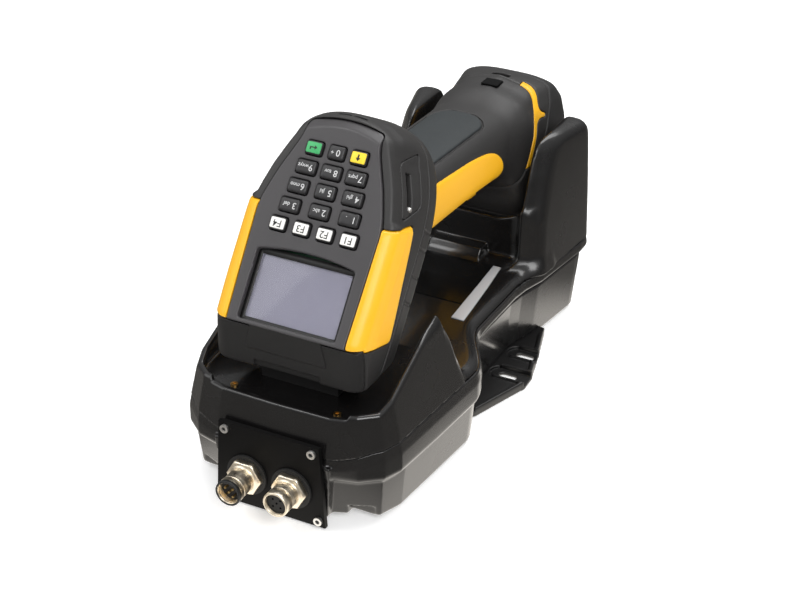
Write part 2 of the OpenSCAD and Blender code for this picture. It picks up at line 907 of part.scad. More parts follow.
module foot_front_frame() {
    color("dimgray")
        difference() {
            intersection() {
                foot_shell();
                foot_depth_range(-foot_split + split_gap / 2, 1);
            }
            bumper_space(-split_gap);
            band_space(0);
            lanyard_space(0);
            face_opening();
        }
}

module foot_side_bands() {
    color("gold")
        difference() {
            intersection() {
                foot_shell();
                band_space(split_gap);
            }
            face_opening();
            bumper_space(-split_gap);
        }
}

module lanyard_panel() {
    color("black")
        difference() {
            intersection() {
                difference() {
                    foot_solid(0.8);
                    foot_solid(shell_wall);
                }
                lanyard_space(split_gap);
            }
            face_frame()
                block([0, 66, -14.5], [far_out, 77, -13]);
        }
}

module end_bumper() {
    color("dimgray")
        difference() {
            intersection() {
                foot_shell();
                bumper_space(0);
            }
            face_frame()
                block([-far_out, face_low - split_gap, -face_t - split_gap], [far_out, far_out, far_out]);
        }
}

module face_plate() {
    outline = foot_outline(face_rim + split_gap, foot_rows[0][1], foot_rows[0][2], face_low);
    color("darkslategray")
        face_frame()
            difference() {
                translate([0, 0, -face_t])
                    linear_extrude(face_t)
                        polygon(outline);
                block([-display_w / 2, display_y, -face_t - 1], [display_w / 2, display_y + display_h, 1]);
                for (spot = key_spots)
                    key_box(spot, slide_gap, -face_t - 1, 1);
            }
}

module key_box(spot, grow, z0, z1) {
    half_w = row_key_w(spot[0]) / 2 + grow;
    half_h = key_h / 2 + grow;
    block([key_x(spot) - half_w, key_y(spot) - half_h, z0],
          [key_x(spot) + half_w, key_y(spot) + half_h, z1]);
}

module key(spot, tone) {
    color(tone)
        face_frame() {
            key_box(spot, 0, face_seat_z - flange_t, key_rise);
            key_box(spot, flange_out, face_seat_z - flange_t, face_seat_z);
        }
}

module key_f4() {
    key(key_spots[0], "white");
}

module key_f3() {
    key(key_spots[1], "white");
}

module key_f2() {
    key(key_spots[2], "white");
}

module key_f1() {
    key(key_spots[3], "white");
}

module key_3() {
    key(key_spots[4], "dimgray");
}

module key_2() {
    key(key_spots[5], "dimgray");
}

module key_1() {
    key(key_spots[6], "dimgray");
}

module key_6() {
    key(key_spots[7], "dimgray");
}

module key_5() {
    key(key_spots[8], "dimgray");
}

module key_4() {
    key(key_spots[9], "dimgray");
}

module key_9() {
    key(key_spots[10], "dimgray");
}

module key_8() {
    key(key_spots[11], "dimgray");
}

module key_7() {
    key(key_spots[12], "dimgray");
}

module key_enter() {
    key(key_spots[13], "seagreen");
}

module key_0() {
    key(key_spots[14], "dimgray");
}

module key_arrow() {
    key(key_spots[15], "gold");
}

window_rim = 1.5;
panel_rim = 1;
display_window_t = 1.3;
display_window_z = -face_t - 0.1;

module display_window() {
    color("lightsteelblue")
        face_frame()
            block([-display_w / 2 - window_rim, display_y - window_rim, display_window_z - display_window_t],
                  [display_w / 2 + window_rim, display_y + display_h + window_rim, display_window_z]);
}

module display_panel() {
    color("slategray")
        face_frame()
            block([-display_w / 2 - panel_rim, display_y - panel_rim, main_board_z + 0.1],
                  [display_w / 2 + panel_rim, display_y + display_h + panel_rim,
                   display_window_z - display_window_t - 0.1]);
}

mat_y0 = display_y + display_h + window_rim + 1.5;
mat_y1 = key_row_y + (key_rows_n - 1) * key_row_pitch + key_h / 2 + 2;
mat_half = 1.5 * fkey_pitch + small_key_w / 2 + 1;

module key_mat() {
    color("gray")
        face_frame()
            translate([0, 0, mat_top_z - mat_t])
                linear_extrude(mat_t)
                    polygon([[-mat_half, mat_y0], [mat_half, mat_y0], [mat_half, mat_y0 + 14],
                             [mat_half - 6, mat_y1],
                             [-mat_half + 6, mat_y1], [-mat_half, mat_y0 + 14]]);
}

module main_board() {
    color("darkgreen")
        face_frame()
            translate([0, 0, main_board_z - board_t])
                linear_extrude(board_t)
                    polygon([[-mat_half - 3, display_y - 2], [mat_half + 3, display_y - 2],
                             [mat_half + 3, mat_y0 + 14],
                             [mat_half - 5, mat_y1 + 2], [-mat_half + 5, mat_y1 + 2],
                             [-mat_half - 3, mat_y0 + 14]]);
}

module beeper() {
    color("black")
        face_frame()
            translate([0, mat_y1 - 10, main_board_z - board_t - 5.1])
                difference() {
                    cylinder(r = 6, h = 5);
                    translate([0, 0, -1])
                        cylinder(r = 1.2, h = 3);
                }
}

module charge_pad_spots() {
    for (s = [-1, 1])
        translate([s * contact_pitch / 2, contact_y, 0])
            children();
}

module charge_pads() {
    color("gold")
        charge_pad_spots()
            translate([0, 0, foot_low_z])
                cylinder(r = pad_r, h = pad_t);
}

// Handle and head

module handle_slice(row, grow) {
    half = handle_w / 2 + row[1] + grow;
    up = handle_h / 2 + row[2] + grow;
    down = handle_h / 2 + row[3] + grow;
    translate([0, row[0], 0])
        rotate([90, 0, 0])
            linear_extrude(thin)
                polygon([for (a = [0 : 12 : 348])
                    [half * power(cos(a), handle_power),
                     (sin(a) > 0 ? up : down) * power(sin(a), handle_power)]]);
}

module handle_solid(grow) {
    handle_frame()
        for (i = [0 : len(handle_rows) - 2])
            hull() {
                handle_slice(handle_rows[i], grow);
                handle_slice(handle_rows[i + 1], grow);
            }
}

module head_slice(row, inset) {
    near_half_w = head_w / 2 - row[1] - inset;
    far_half_w = head_w / 2 - row[2] - inset;
    y0 = head_y + row[3] + inset;
    y1 = head_y + row[4] - inset;
    round_r = min(7, (y1 - y0) / 2 - 0.1, near_half_w - 0.1);
    drop = row[0] == head_len ? (inset > 0 ? 1 : thin) : row[0] == 0 ? inset + thin : 0;
    translate([0, 0, head_top_z - row[0] - drop])
        linear_extrude(thin)
            offset(r = round_r, $fn = 20)
                offset(delta = -round_r)
                    polygon([[-near_half_w, y0], [near_half_w, y0], [far_half_w, y1], [-far_half_w, y1]]);
}

module head_solid(inset) {
    for (i = [0 : len(head_rows) - 2])
        hull() {
            head_slice(head_rows[i], inset);
            head_slice(head_rows[i + 1], inset);
        }
}

module head_shell() {
    difference() {
        head_solid(0);
        head_solid(shell_wall);
    }
}

// A slab of the head between two planes that lean with the yellow trim, above the nose bezel
module head_slab(s0, s1) {
    intersection() {
        translate([0, head_split_y, head_split_z])
            rotate([head_split_deg - 90, 0, 0])
                block([-far_out, s0, -far_out], [far_out, s1, far_out]);
        block([-far_out, -far_out, bezel_top_z + split_gap], [far_out, far_out, far_out]);
    }
}

// The places of the yellow trim, one on each side of the head
module trim_space(gap) {
    both_sides()
        intersection() {
            head_slab(gap, trim_t - gap);
            block([trim_x + gap, -far_out, -far_out], [far_out, far_out, far_out]);
        }
}

module trigger_space() {
    half = trigger_w / 2 + slide_gap;
    block([-half, trigger_y - trigger_reach - 1.5, trigger_z - 30],
          [half, trigger_y + trigger_boss_r + 1, trigger_z + 9]);
}

lamp_w = 8.6;
lamp_l = 7;
lamp_t = 1.4;
lamp_y = head_y - 2;
lamp_drop = 0.6;
vent_w = 9;
vent_l = 2;
vent_y = head_y + 9.5;

module gun_body() {
    pin_half = trigger_w / 2 + 6;
    color("dimgray")
        difference() {
            union() {
                difference() {
                    union() {
                        handle_solid(0);
                        intersection() {
                            head_solid(0);
                            head_slab(-far_out, -split_gap);
                        }
                    }
                    handle_solid(-shell_wall);
                    head_solid(shell_wall);
                    foot_solid(-split_gap);
                }
                intersection() {
                    handle_solid(-0.5);
                    both_sides()
                        block([trigger_w / 2 + slide_gap, trigger_y - trigger_boss_r, trigger_z - 8],
                              [trigger_w / 2 + slide_gap + lug_t, trigger_y + trigger_boss_r,
                               trigger_z + trigger_boss_r]);
                }
            }
            trigger_space();
            translate([0, trigger_y, trigger_z])
                rotate([0, 90, 0])
                    cylinder(r = trigger_pin_r + 0.15, h = 2 * pin_half, center = true);
            block([-lamp_w / 2 - split_gap, lamp_y - lamp_l / 2 - split_gap,
                   head_top_z - lamp_t - lamp_drop - 0.1],
                  [lamp_w / 2 + split_gap, lamp_y + lamp_l / 2 + split_gap, head_top_z + 2]);
        }
}

module lamp_window() {
    color("black")
        block([-lamp_w / 2, lamp_y - lamp_l / 2, head_top_z - lamp_t - lamp_drop],
              [lamp_w / 2, lamp_y + lamp_l / 2, head_top_z - lamp_drop]);
}

module grip_pad() {
    round_r = grip_w / 2;
    color("darkslategray")
        difference() {
            intersection() {
                handle_solid(skin_t);
                handle_frame()
                    hull() {
                        block([-grip_w / 2, grip_start, 0], [grip_w / 2, grip_tip - round_r, 40]);
                        translate([0, grip_tip - round_r, 0])
                            cylinder(r = round_r, h = 40);
                    }
            }
            handle_solid(0.05);
            foot_solid(-split_gap);
            head_solid(-0.3);
        }
}

module handle_bands() {
    color("gold")
        difference() {
            intersection() {
                handle_solid(skin_t);
                both_sides()
                    handle_frame()
                        translate([grip_w / 2 + 1, 0, 0])
                            rotate([90, 0, 90])
                                linear_extrude(30)
                                    polygon([[30, 11], [95, 7.8], [106, 5],
                                             [113, 0.5], [116, -6], [114, -12], [106, -15.5], [30, -15.5]]);
            }
            handle_solid(0.05);
            foot_solid(-split_gap);
            trigger_space();
        }
}

battery_y = 41;
battery_l = 46;

module battery() {
    half = handle_w / 2 - shell_wall - 6.3;
    high = handle_h / 2 - shell_wall - 2.2;
    color("steelblue")
        handle_frame()
            block([-half, battery_y, -high], [half, battery_y + battery_l, high]);
}

module trigger() {
    r = trigger_boss_r - 0.6;
    color("gold")
        difference() {
            translate([-trigger_w / 2, 0, 0])
                rotate([90, 0, 90])
                    linear_extrude(trigger_w)
                        union() {
                            translate([trigger_y, trigger_z])
                                circle(r = r);
                            polygon([[trigger_y, trigger_z + r], [trigger_y - trigger_reach, trigger_z + 2],
                                     [trigger_y - trigger_reach, trigger_z - 3],
                                     [trigger_y - trigger_reach + 6, trigger_z - 9],
                                     [trigger_y - trigger_reach + 12, trigger_z - trigger_drop + 1],
                                     [trigger_y - 4, trigger_z - trigger_drop], [trigger_y + r, trigger_z]]);
                        }
            translate([0, trigger_y, trigger_z])
                rotate([0, 90, 0])
                    cylinder(r = trigger_pin_r + pin_clear, h = far_out, center = true);
        }
}

module trigger_pin() {
    color("silver")
        translate([0, trigger_y, trigger_z])
            rotate([0, 90, 0])
                cylinder(r = trigger_pin_r, h = trigger_w + 2 * slide_gap + 2 * lug_t, center = true);
}

module trigger_switch() {
    half = handle_w / 2 - shell_wall - 0.1;
    y0 = trigger_y - trigger_reach + 2;
    z0 = trigger_z + 7 + trigger_reach * sin(trigger_deg);
    color("darkgreen") {
        block([-half, y0, z0], [half, y0 + 12, z0 + board_t]);
        block([-3, y0 + 3, z0 - 2.5], [3, y0 + 9, z0 + 0.5]);
    }
}

module head_cover() {
    color("dimgray")
        difference() {
            intersection() {
                head_shell();
                head_slab(0, cover_t - split_gap);
            }
            trim_space(-split_gap);
            handle_solid(split_gap);
            block([-vent_w / 2, vent_y - vent_l / 2, head_top_z - 1.2],
                  [vent_w / 2, vent_y + vent_l / 2, head_top_z + 2]);
        }
}

module head_trim() {
    color("gold")
        difference() {
            intersection() {
                head_shell();
                trim_space(0);
            }
            handle_solid(split_gap);
        }
}

module head_bumper() {
    color("dimgray")
        intersection() {
            head_shell();
            head_slab(cover_t, far_out);
        }
}

module nose_bezel() {
    color("black")
        intersection() {
            head_shell();
            block([-far_out, 0, 0], [far_out, far_out, bezel_top_z]);
        }
}

window_inset = shell_wall + 0.3;

module scan_window() {
    half = head_w / 2 - head_rows[0][1] - window_inset;
    y0 = head_y + head_rows[0][3] + window_inset;
    y1 = head_y + head_rows[0][4] - window_inset;
    cut = 5;
    color("lightsteelblue")
        translate([0, 0, head_nose_z + 1.5])
            linear_extrude(window_t)
                polygon([[-half + cut, y0], [half - cut, y0], [half, y0 + cut], [half, y1 - cut],
                         [half - cut, y1], [-half + cut, y1], [-half, y1 - cut], [-half, y0 + cut]]);
}

module scan_engine() {
    half = head_w / 2 - 14;
    color("gray")
        difference() {
            block([-half, head_y - 17.9, head_nose_z + 24], [half, head_y + 4, head_nose_z + 52]);
            for (s = [-1, 0, 1])
                translate([s * 10, head_y - 8, head_nose_z + 23])
                    cylinder(r = s == 0 ? 5 : 3, h = 6);
        }
}

base_tub();
base_top();
deck_label();
connector_plate();
plate_screws();
m12_shells();
m12_gaskets();
m12_inserts();
m12_pins();
wall_bracket();
rubber_feet();
base_screws();
base_board();
contact_block();
contact_pin_left();
contact_pin_right();
brass_screws();
nose_pad();
foot_rear_shell();
foot_front_frame();
foot_side_bands();
face_plate();
end_bumper();
display_window();
display_panel();
key_mat();
main_board();
beeper();
charge_pads();
lanyard_panel();
gun_body();
grip_pad();
handle_bands();
battery();
trigger();
trigger_pin();
trigger_switch();
head_cover();
head_trim();
head_bumper();
nose_bezel();
scan_window();
scan_engine();
lamp_window();
key_f4();
key_f3();
key_f2();
key_f1();
key_3();
key_2();
key_1();
key_6();
key_5();
key_4();
key_9();
key_8();
key_7();
key_enter();
key_0();
key_arrow();
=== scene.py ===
import math
import bpy
import numpy as np
from mathutils import Matrix, Vector


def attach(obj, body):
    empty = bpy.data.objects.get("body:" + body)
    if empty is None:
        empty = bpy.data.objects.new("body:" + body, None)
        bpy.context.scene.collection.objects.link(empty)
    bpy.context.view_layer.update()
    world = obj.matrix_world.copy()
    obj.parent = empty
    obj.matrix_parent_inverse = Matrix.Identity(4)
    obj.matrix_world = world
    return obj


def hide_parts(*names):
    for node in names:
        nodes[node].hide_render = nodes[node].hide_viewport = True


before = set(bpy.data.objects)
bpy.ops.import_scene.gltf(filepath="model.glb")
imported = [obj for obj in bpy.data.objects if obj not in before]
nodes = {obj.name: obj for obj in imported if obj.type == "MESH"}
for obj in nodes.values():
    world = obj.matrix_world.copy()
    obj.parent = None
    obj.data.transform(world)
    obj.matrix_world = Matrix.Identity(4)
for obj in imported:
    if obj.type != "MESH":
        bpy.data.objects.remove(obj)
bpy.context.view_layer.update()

MM = 0.001

# Driving sizes in millimetres, the same as the solids
SEAM_Z = 39.0
DECK_Z = 42.0
BOWL_Z = 50.0
LIP_Z = 53.0
WING_Z = 78.0
EAR_Z = 103.5
FOOT_Y = -99.0
FOOT_Z = 82.2
FOOT_TILT = math.radians(52.5)
FOOT_W = 75.0
FOOT_DEPTH = 42.0
FOOT_LEN = 99.0
FOOT_LOW_Z = 61.5
FOOT_FRONT_Y = FOOT_Y + 1
FOOT_SPLIT = 26.0
FACE_T = 3.0
SHELL_WALL = 2.5
HEAD_Y = FOOT_Y + 205
HEAD_W = 63.0
HEAD_TOP_Z = 119.0
HEAD_LEN = 105.0
HANDLE_Y = FOOT_Y + 54
HANDLE_Z = 105.5
HANDLE_SLOPE = math.radians(-3.4)
HANDLE_W = 44.0
HANDLE_H = 33.0
DOCK_GAP = 1.5
WING_T = 3.5
WING_LEAN = 8.5
PIECE_GAP = 0.2

# Plan of the base, worked out as in the solids
FRONT_Y = FOOT_FRONT_Y - 14.2
FAR_Y = HEAD_Y + 16
WELL_HALF = HEAD_W / 2 + DOCK_GAP
NEAR_HALF = FOOT_W / 2 + 2 * DOCK_GAP + WING_T + WING_LEAN
HIP_HALF = NEAR_HALF + 4.5
WAIST_HALF = 41.0
FAR_HALF = WELL_HALF + 17
HIP_Y = FOOT_Y + 72
WAIST_Y = FOOT_Y + 111
SHOULDER_Y0 = HEAD_Y - 54
SHOULDER_Y1 = HEAD_Y - 2
WING_PEAK_Y = FOOT_Y + 54
WELL_Y0 = HEAD_Y - 24 - DOCK_GAP
WELL_Y1 = HEAD_Y + 10 + DOCK_GAP
CROSS_WALL_Y = HEAD_Y - 33

DETAIL = 1.0


# Fields: negative inside a form, positive outside, about one per millimetre

def smooth_max(a, b, k):
    h = np.maximum(k - np.abs(a - b), 0) / k
    return np.maximum(a, b) + h * h * k / 4


def smooth_min(a, b, k):
    return -smooth_max(-a, -b, k)


def cut(a, b, k):
    """Form a without form b, with an edge rounded over k."""
    return smooth_max(a, -b, k)


def box_field(x, y, z, low, high, k):
    f = smooth_max(low[0] - x, x - high[0], k)
    f = smooth_max(f, smooth_max(low[1] - y, y - high[1], k), k)
    return smooth_max(f, smooth_max(low[2] - z, z - high[2], k), k)


def curve(points, blur):
    """A smooth curve through given points, and its slope, as two functions."""
    xs, ys = np.array(points, float).T
    t = np.arange(xs[0] - 4 * blur - 1, xs[-1] + 4 * blur + 1, 0.2)
    v = np.interp(t, xs, ys)
    reach = np.arange(-3 * blur, 3 * blur + 0.1, 0.2)
    weight = np.exp(-(reach / blur) ** 2)
    pad = len(reach) // 2
    v = np.convolve(np.pad(v, pad, mode="edge"), weight / weight.sum(), mode="same")[pad:-pad]
    slope = np.gradient(v, t)
    return (lambda q: np.interp(q, t, v)), (lambda q: np.interp(q, t, slope))


class Plan:
    """Distance to an outline that is the same on both sides of the middle, read from a fine grid."""

    def __init__(self, outline, pitch=0.5):
        line = np.array(outline, float)
        self.pitch = pitch
        self.low = np.array([-3.0, line[:, 1].min() - 15])
        size = np.array([line[:, 0].max() + 15, line[:, 1].max() + 15]) - self.low
        self.shape = np.ceil(size / pitch).astype(int)
        gx = self.low[0] + pitch * np.arange(self.shape[0])
        gy = self.low[1] + pitch * np.arange(self.shape[1])
        px, py = np.meshgrid(gx, gy, indexing="ij")
        best = np.full(px.shape, 1e9)
        inside = np.zeros(px.shape, bool)
        ring = np.vstack([line, line[::-1] * [-1, 1], line[:1]])
        for (ax, ay), (bx, by) in zip(ring[:-1], ring[1:]):
            dx, dy = bx - ax, by - ay
            length = dx * dx + dy * dy
            if length < 1e-9:
                continue
            t = np.clip(((px - ax) * dx + (py - ay) * dy) / length, 0, 1)
            best = np.minimum(best, (px - ax - t * dx) ** 2 + (py - ay - t * dy) ** 2)
            if dy != 0:
                crosses = (ay > py) != (by > py)
                inside ^= crosses & (px < ax + (py - ay) / dy * dx)
        self.grid = np.where(inside, -1, 1) * np.sqrt(best)

    def __call__(self, x, y):
        u = np.clip((np.abs(x) - self.low[0]) / self.pitch, 0, self.shape[0] - 1.001)
        v = np.clip((y - self.low[1]) / self.pitch, 0, self.shape[1] - 1.001)
        i, j = u.astype(int), v.astype(int)
        u, v = u - i, v - j
        g = self.grid
        return ((g[i, j] * (1 - u) + g[i + 1, j] * u) * (1 - v)
                + (g[i, j + 1] * (1 - u) + g[i + 1, j + 1] * u) * v)


# Skins: a mesh on the zero of a field

BLOCK = 8
BLOCKS_AT_ONCE = 800
POINTS_AT_ONCE = 400000
NEAR_STEPS = 15
CORNERS = np.array([[i, j, k] for i in (0, 1) for j in (0, 1) for k in (0, 1)])
EDGES = [(a, b) for a in range(8) for b in range(a + 1, 8) if np.abs(CORNERS[a] - CORNERS[b]).sum() == 1]


def sample(field, points):
    out = np.empty(len(points))
    for s in range(0, len(points), POINTS_AT_ONCE):
        part = points[s:s + POINTS_AT_ONCE]
        out[s:s + POINTS_AT_ONCE] = field(part[:, 0], part[:, 1], part[:, 2])
    return out


def field_values(field, low, step, blocks):
    """Values on a grid of points, worked out only in the blocks near the form's surface."""
    centre = np.stack(np.meshgrid(*[np.arange(n) for n in blocks], indexing="ij"), -1).reshape(-1, 3)
    at = low + step * (centre * BLOCK + (BLOCK - 1) / 2)
    rough = sample(field, at)
    values = np.empty(tuple(np.array(blocks) * BLOCK), np.float32)
    view = values.reshape(blocks[0], BLOCK, blocks[1], BLOCK, blocks[2], BLOCK)
    view[:] = np.sign(rough).reshape(blocks)[:, None, :, None, :, None] * 99
    near = centre[np.abs(rough) < NEAR_STEPS * step]
    inner = np.stack(np.meshgrid(*[np.arange(BLOCK)] * 3, indexing="ij"), -1).reshape(-1, 3)
    for s in range(0, len(near), BLOCKS_AT_ONCE):
        some = near[s:s + BLOCKS_AT_ONCE]
        points = low + step * (some[:, None, :] * BLOCK + inner[None]).reshape(-1, 3)
        got = sample(field, points).reshape(-1, BLOCK, BLOCK, BLOCK)
        view[some[:, 0], :, some[:, 1], :, some[:, 2], :] = got
    return values


def gradient(field, points, h):
    g = np.empty((len(points), 3))
    for axis in range(3):
        d = np.zeros(3)
        d[axis] = h
        g[:, axis] = (sample(field, points + d) - sample(field, points - d)) / (2 * h)
    return g


def settle(field, points, step):
    """Moves points onto the zero of the field and returns them with their normals."""
    for _ in range(2):
        g = gradient(field, points, 0.3 * step)
        size = np.maximum((g * g).sum(1), 0.2)
        move = -(sample(field, points) / size)[:, None] * g
        reach = np.maximum(np.linalg.norm(move, axis=1), 1e-9)
        points = points + move * np.minimum(1, 0.6 * step / reach)[:, None]
    g = gradient(field, points, 0.5 * step)
    return points, g / np.maximum(np.linalg.norm(g, axis=1), 1e-9)[:, None]


def net(values, low, step):
    """Points and four-sided faces of the surface between the two signs of a grid."""
    inside = values < 0
    count = np.zeros(tuple(n - 1 for n in values.shape), np.int8)
    for c in CORNERS:
        count += inside[tuple(slice(c[a], values.shape[a] - 1 + c[a]) for a in range(3))]
    cells = np.argwhere((count > 0) & (count < 8))
    number = np.full(count.shape, -1, np.int32)
    number[tuple(cells.T)] = np.arange(len(cells))
    at = [values[tuple((cells + c).T)] for c in CORNERS]
    total = np.zeros((len(cells), 3))
    hits = np.zeros(len(cells))
    for a, b in EDGES:
        crosses = (at[a] < 0) != (at[b] < 0)
        t = np.where(crosses, at[a] / np.where(crosses, at[a] - at[b], 1), 0)
        total += crosses[:, None] * (CORNERS[a] + t[:, None] * (CORNERS[b] - CORNERS[a]))
        hits += crosses
    points = low + step * (cells + total / hits[:, None])
    faces = []
    for axis in range(3):
        b, c = (axis + 1) % 3, (axis + 2) % 3
        first = [slice(None)] * 3
        second = [slice(None)] * 3
        first[axis] = slice(0, -1)
        second[axis] = slice(1, None)
        change = inside[tuple(first)] != inside[tuple(second)]
        e = np.argwhere(change)
        e = e[(e[:, b] > 0) & (e[:, c] > 0) & (e[:, b] < count.shape[b]) & (e[:, c] < count.shape[c])]
        step_b, step_c = np.eye(3, dtype=int)[b], np.eye(3, dtype=int)[c]
        quad = np.stack([number[tuple((e - db * step_b - dc * step_c).T)]
                         for db, dc in ((1, 1), (0, 1), (0, 0), (1, 0))], 1)
        flip = ~inside[tuple(e.T)]
        quad[flip] = quad[flip, ::-1]
        faces.append(quad)
    return points, np.concatenate(faces)


def mesh_from(name, points, faces, normals):
    mesh = bpy.data.meshes.new(name)
    mesh.vertices.add(len(points))
    mesh.vertices.foreach_set("co", (points * MM).astype(np.float32).ravel())
    sides = faces.shape[1]
    mesh.loops.add(faces.size)
    mesh.loops.foreach_set("vertex_index", faces.astype(np.int32).ravel())
    mesh.polygons.add(len(faces))
    mesh.polygons.foreach_set("loop_start", np.arange(0, faces.size, sides, dtype=np.int32))
    mesh.update(calc_edges=True)
    mesh.validate()
    mesh.shade_smooth()
    mesh.normals_split_custom_set_from_vertices(normals)
    return mesh


def add_object(name, data):
    """A new object in the scene."""
    made = bpy.data.objects.new(name, data)
    bpy.context.scene.collection.objects.link(made)
    return made


def piece_from(name, mesh, material, at=None):
    piece = add_object(name, mesh)
    mesh.materials.append(material)
    if at is not None:
        piece.matrix_world = at
    return piece


def thinned(piece, share):
    """The piece's mesh with fewer faces, points and triangles as arrays in millimetres."""
    modifier = piece.modifiers.new("thin", "DECIMATE")
    modifier.ratio = share
    modifier.use_collapse_triangulate = True
    bpy.context.view_layer.update()
    graph = bpy.context.evaluated_depsgraph_get()
    lean = piece.evaluated_get(graph).to_mesh()
    points = np.empty(len(lean.vertices) * 3, np.float32)
    lean.vertices.foreach_get("co", points)
    faces = np.empty(len(lean.polygons) * 3, np.int32)
    lean.polygons.foreach_get("vertices", faces)
    piece.evaluated_get(graph).to_mesh_clear()
    piece.modifiers.remove(modifier)
    return points.reshape(-1, 3).astype(float) / MM, faces.reshape(-1, 3)


def skin(name, field, low, high, step, material, share=0.3, frame_at=None):
    """A named piece on the zero of a field between two corners, both in the frame given by a matrix."""
    step = step * DETAIL
    low = np.array(low, float) - 2 * step
    blocks = [int(np.ceil((high[a] + 2 * step - low[a]) / (step * BLOCK))) for a in range(3)]
    points, faces = net(field_values(field, low, step, blocks), low, step)
    points, normals = settle(field, points, step)
    mesh = mesh_from(name, points, faces, normals)
    if share < 1:
        rough = add_object(name + ".rough", mesh)
        points, faces = thinned(rough, share)
        bpy.data.objects.remove(rough)
        points, normals = settle(field, points, step)
        mesh = mesh_from(name, points, faces, normals)
    return piece_from(name, mesh, material, frame_at)


# Base fields

def arc(a0, a1, n):
    """Angles in radians, evenly from one in degrees to another."""
    return [math.radians(a0 + (a1 - a0) * i / n) for i in range(n + 1)]


def ease(t):
    """Rises smoothly from nought to one."""
    t = np.clip(t, 0, 1)
    return t * t * (3 - 2 * t)


TAIL = 8.0
FRONT_LINE = [(0.0, FRONT_Y), (27.0, FRONT_Y + 0.6), (39.7, FRONT_Y + 4.2), (48.9, FRONT_Y + 11.7),
              (52.3, FRONT_Y + 21)]
HIP_LINE = [(WAIST_HALF + (HIP_HALF - WAIST_HALF) * (1 + math.cos(a)) / 2,
             HIP_Y + (WAIST_Y - HIP_Y) * a / math.pi) for a in arc(0, 180, 20)]
FAR_LINE = [(WAIST_HALF, SHOULDER_Y0 - 2), (WAIST_HALF + 1.2, SHOULDER_Y0 + 8),
            (WAIST_HALF + 4.5, SHOULDER_Y0 + 20), (FAR_HALF, SHOULDER_Y1 + 4)]
TAIL_LINE = [(FAR_HALF - TAIL * (1 - math.cos(a)), FAR_Y - TAIL * (1 - math.sin(a)))
             for a in arc(0, 90, 12)]
BASE_LINE = FRONT_LINE + HIP_LINE + FAR_LINE + TAIL_LINE
base_plan = Plan(BASE_LINE)


def half_at(y):
    halves, ys = np.array(BASE_LINE).T
    return np.interp(y, ys, halves)


# Lower tub: a boss behind the connector plate, one facet on each side of it, then the flanks
TUB_STEP = 2.6
TUB_DRAFT = 2.6
lower_plan = Plan([(28.0, FRONT_Y), (28.0, FRONT_Y + 5), (47.0, FRONT_Y + 13)]
                  + [(half_at(y) - TUB_STEP, y) for y in np.linspace(-84, FAR_Y - 9, 120)]
                  + [(FAR_HALF - TUB_STEP - 6, FAR_Y - TUB_STEP)])
BRACKET_Y0 = FOOT_Y + 87
BRACKET_Y1 = BRACKET_Y0 + 92
BRACKET_HALF = HIP_HALF - 0.6
BRACKET_T = 3.0
bracket_plan = Plan([(BRACKET_HALF - 13, BRACKET_Y0), (BRACKET_HALF, BRACKET_Y0 + 40),
                     (BRACKET_HALF - 0.5, BRACKET_Y0 + 48), (BRACKET_HALF - 6, BRACKET_Y0 + 69),
                     (BRACKET_HALF - 13, BRACKET_Y1)])

WING_END_Y = WING_PEAK_Y + 12
rim_at, rim_slope = curve([(FRONT_Y, LIP_Z + 2), (FOOT_Y + 2, LIP_Z + 2), (WING_PEAK_Y, WING_Z),
                           (WING_PEAK_Y + 5, WING_Z - 10), (WING_PEAK_Y + 9, WING_Z - 24),
                           (WING_END_Y, DECK_Z), (WING_END_Y + 6, 0), (FAR_Y, 0)], 0.8)
WING_TILT = WING_LEAN / (WING_Z - SEAM_Z)
BELT_OUT = 0.8
SEAM_DIP = 4.5


def seam_at(x, y):
    """Height of the seam, which dips towards the connector plate."""
    return SEAM_Z - SEAM_DIP * ease((50 - np.abs(x)) / 22) * ease((-88 - y) / 10)


def wall_field(x, y, z):
    """Outer wall of the bowl and its wings, leaning in towards the rim."""
    return (base_plan(x, y) + BELT_OUT + WING_TILT * (z - SEAM_Z)) / math.hypot(1, WING_TILT)


EARS_Y0 = HEAD_Y - 40
EARS_Y1 = FAR_Y - 1
EAR_CORNER = 4.0
# Rows of an ear: height, near inset, near corner inset across and along, outer inset, far inset
EAR_ROWS = [(SEAM_Z, -2, 4.4, 3, 0.6, 0), (EAR_Z - 39, 0.5, 6.5, 8, 1, 0.5), (EAR_Z - 18, 8, 8, 17, 1.6, 1),
            (EAR_Z - 8, 12.5, 8.6, 22.5, 2.0, 1.3), (EAR_Z, 17, 9.2, 28, 2.6, 1.8)]
ear_curves = [curve([(row[0], row[i]) for row in EAR_ROWS], 2)[0] for i in range(1, 6)]


def ear_field(x, y, z):
    near, corner_in, corner_y, outer, far = [c(z) for c in ear_curves]
    across = np.abs(x)
    x1 = FAR_HALF - outer
    y1 = EARS_Y1 - far
    points = [(WELL_HALF, EARS_Y0 + near), (FAR_HALF - corner_in, EARS_Y0 + corner_y), (x1, y1 - EAR_CORNER),
              (x1 - EAR_CORNER, y1)]
    f = smooth_max(WELL_HALF - across, y - y1, 2)
    for (ax, ay), (bx, by) in zip(points[:-1], points[1:]):
        dx, dy = bx - ax, by - ay
        f = smooth_max(f, ((across - ax) * dy - (y - ay) * dx) / np.hypot(dx, dy), 2.5)
    return smooth_max(f, z - EAR_Z, 7)


BOWL_END_Y = WING_END_Y + 4


def bowl_field(x, y, z):
    inner = smooth_max(wall_field(x, y, z) + WING_T - 0.6, y - BOWL_END_Y, 1)
    return smooth_max(inner, BOWL_Z - z, 3)


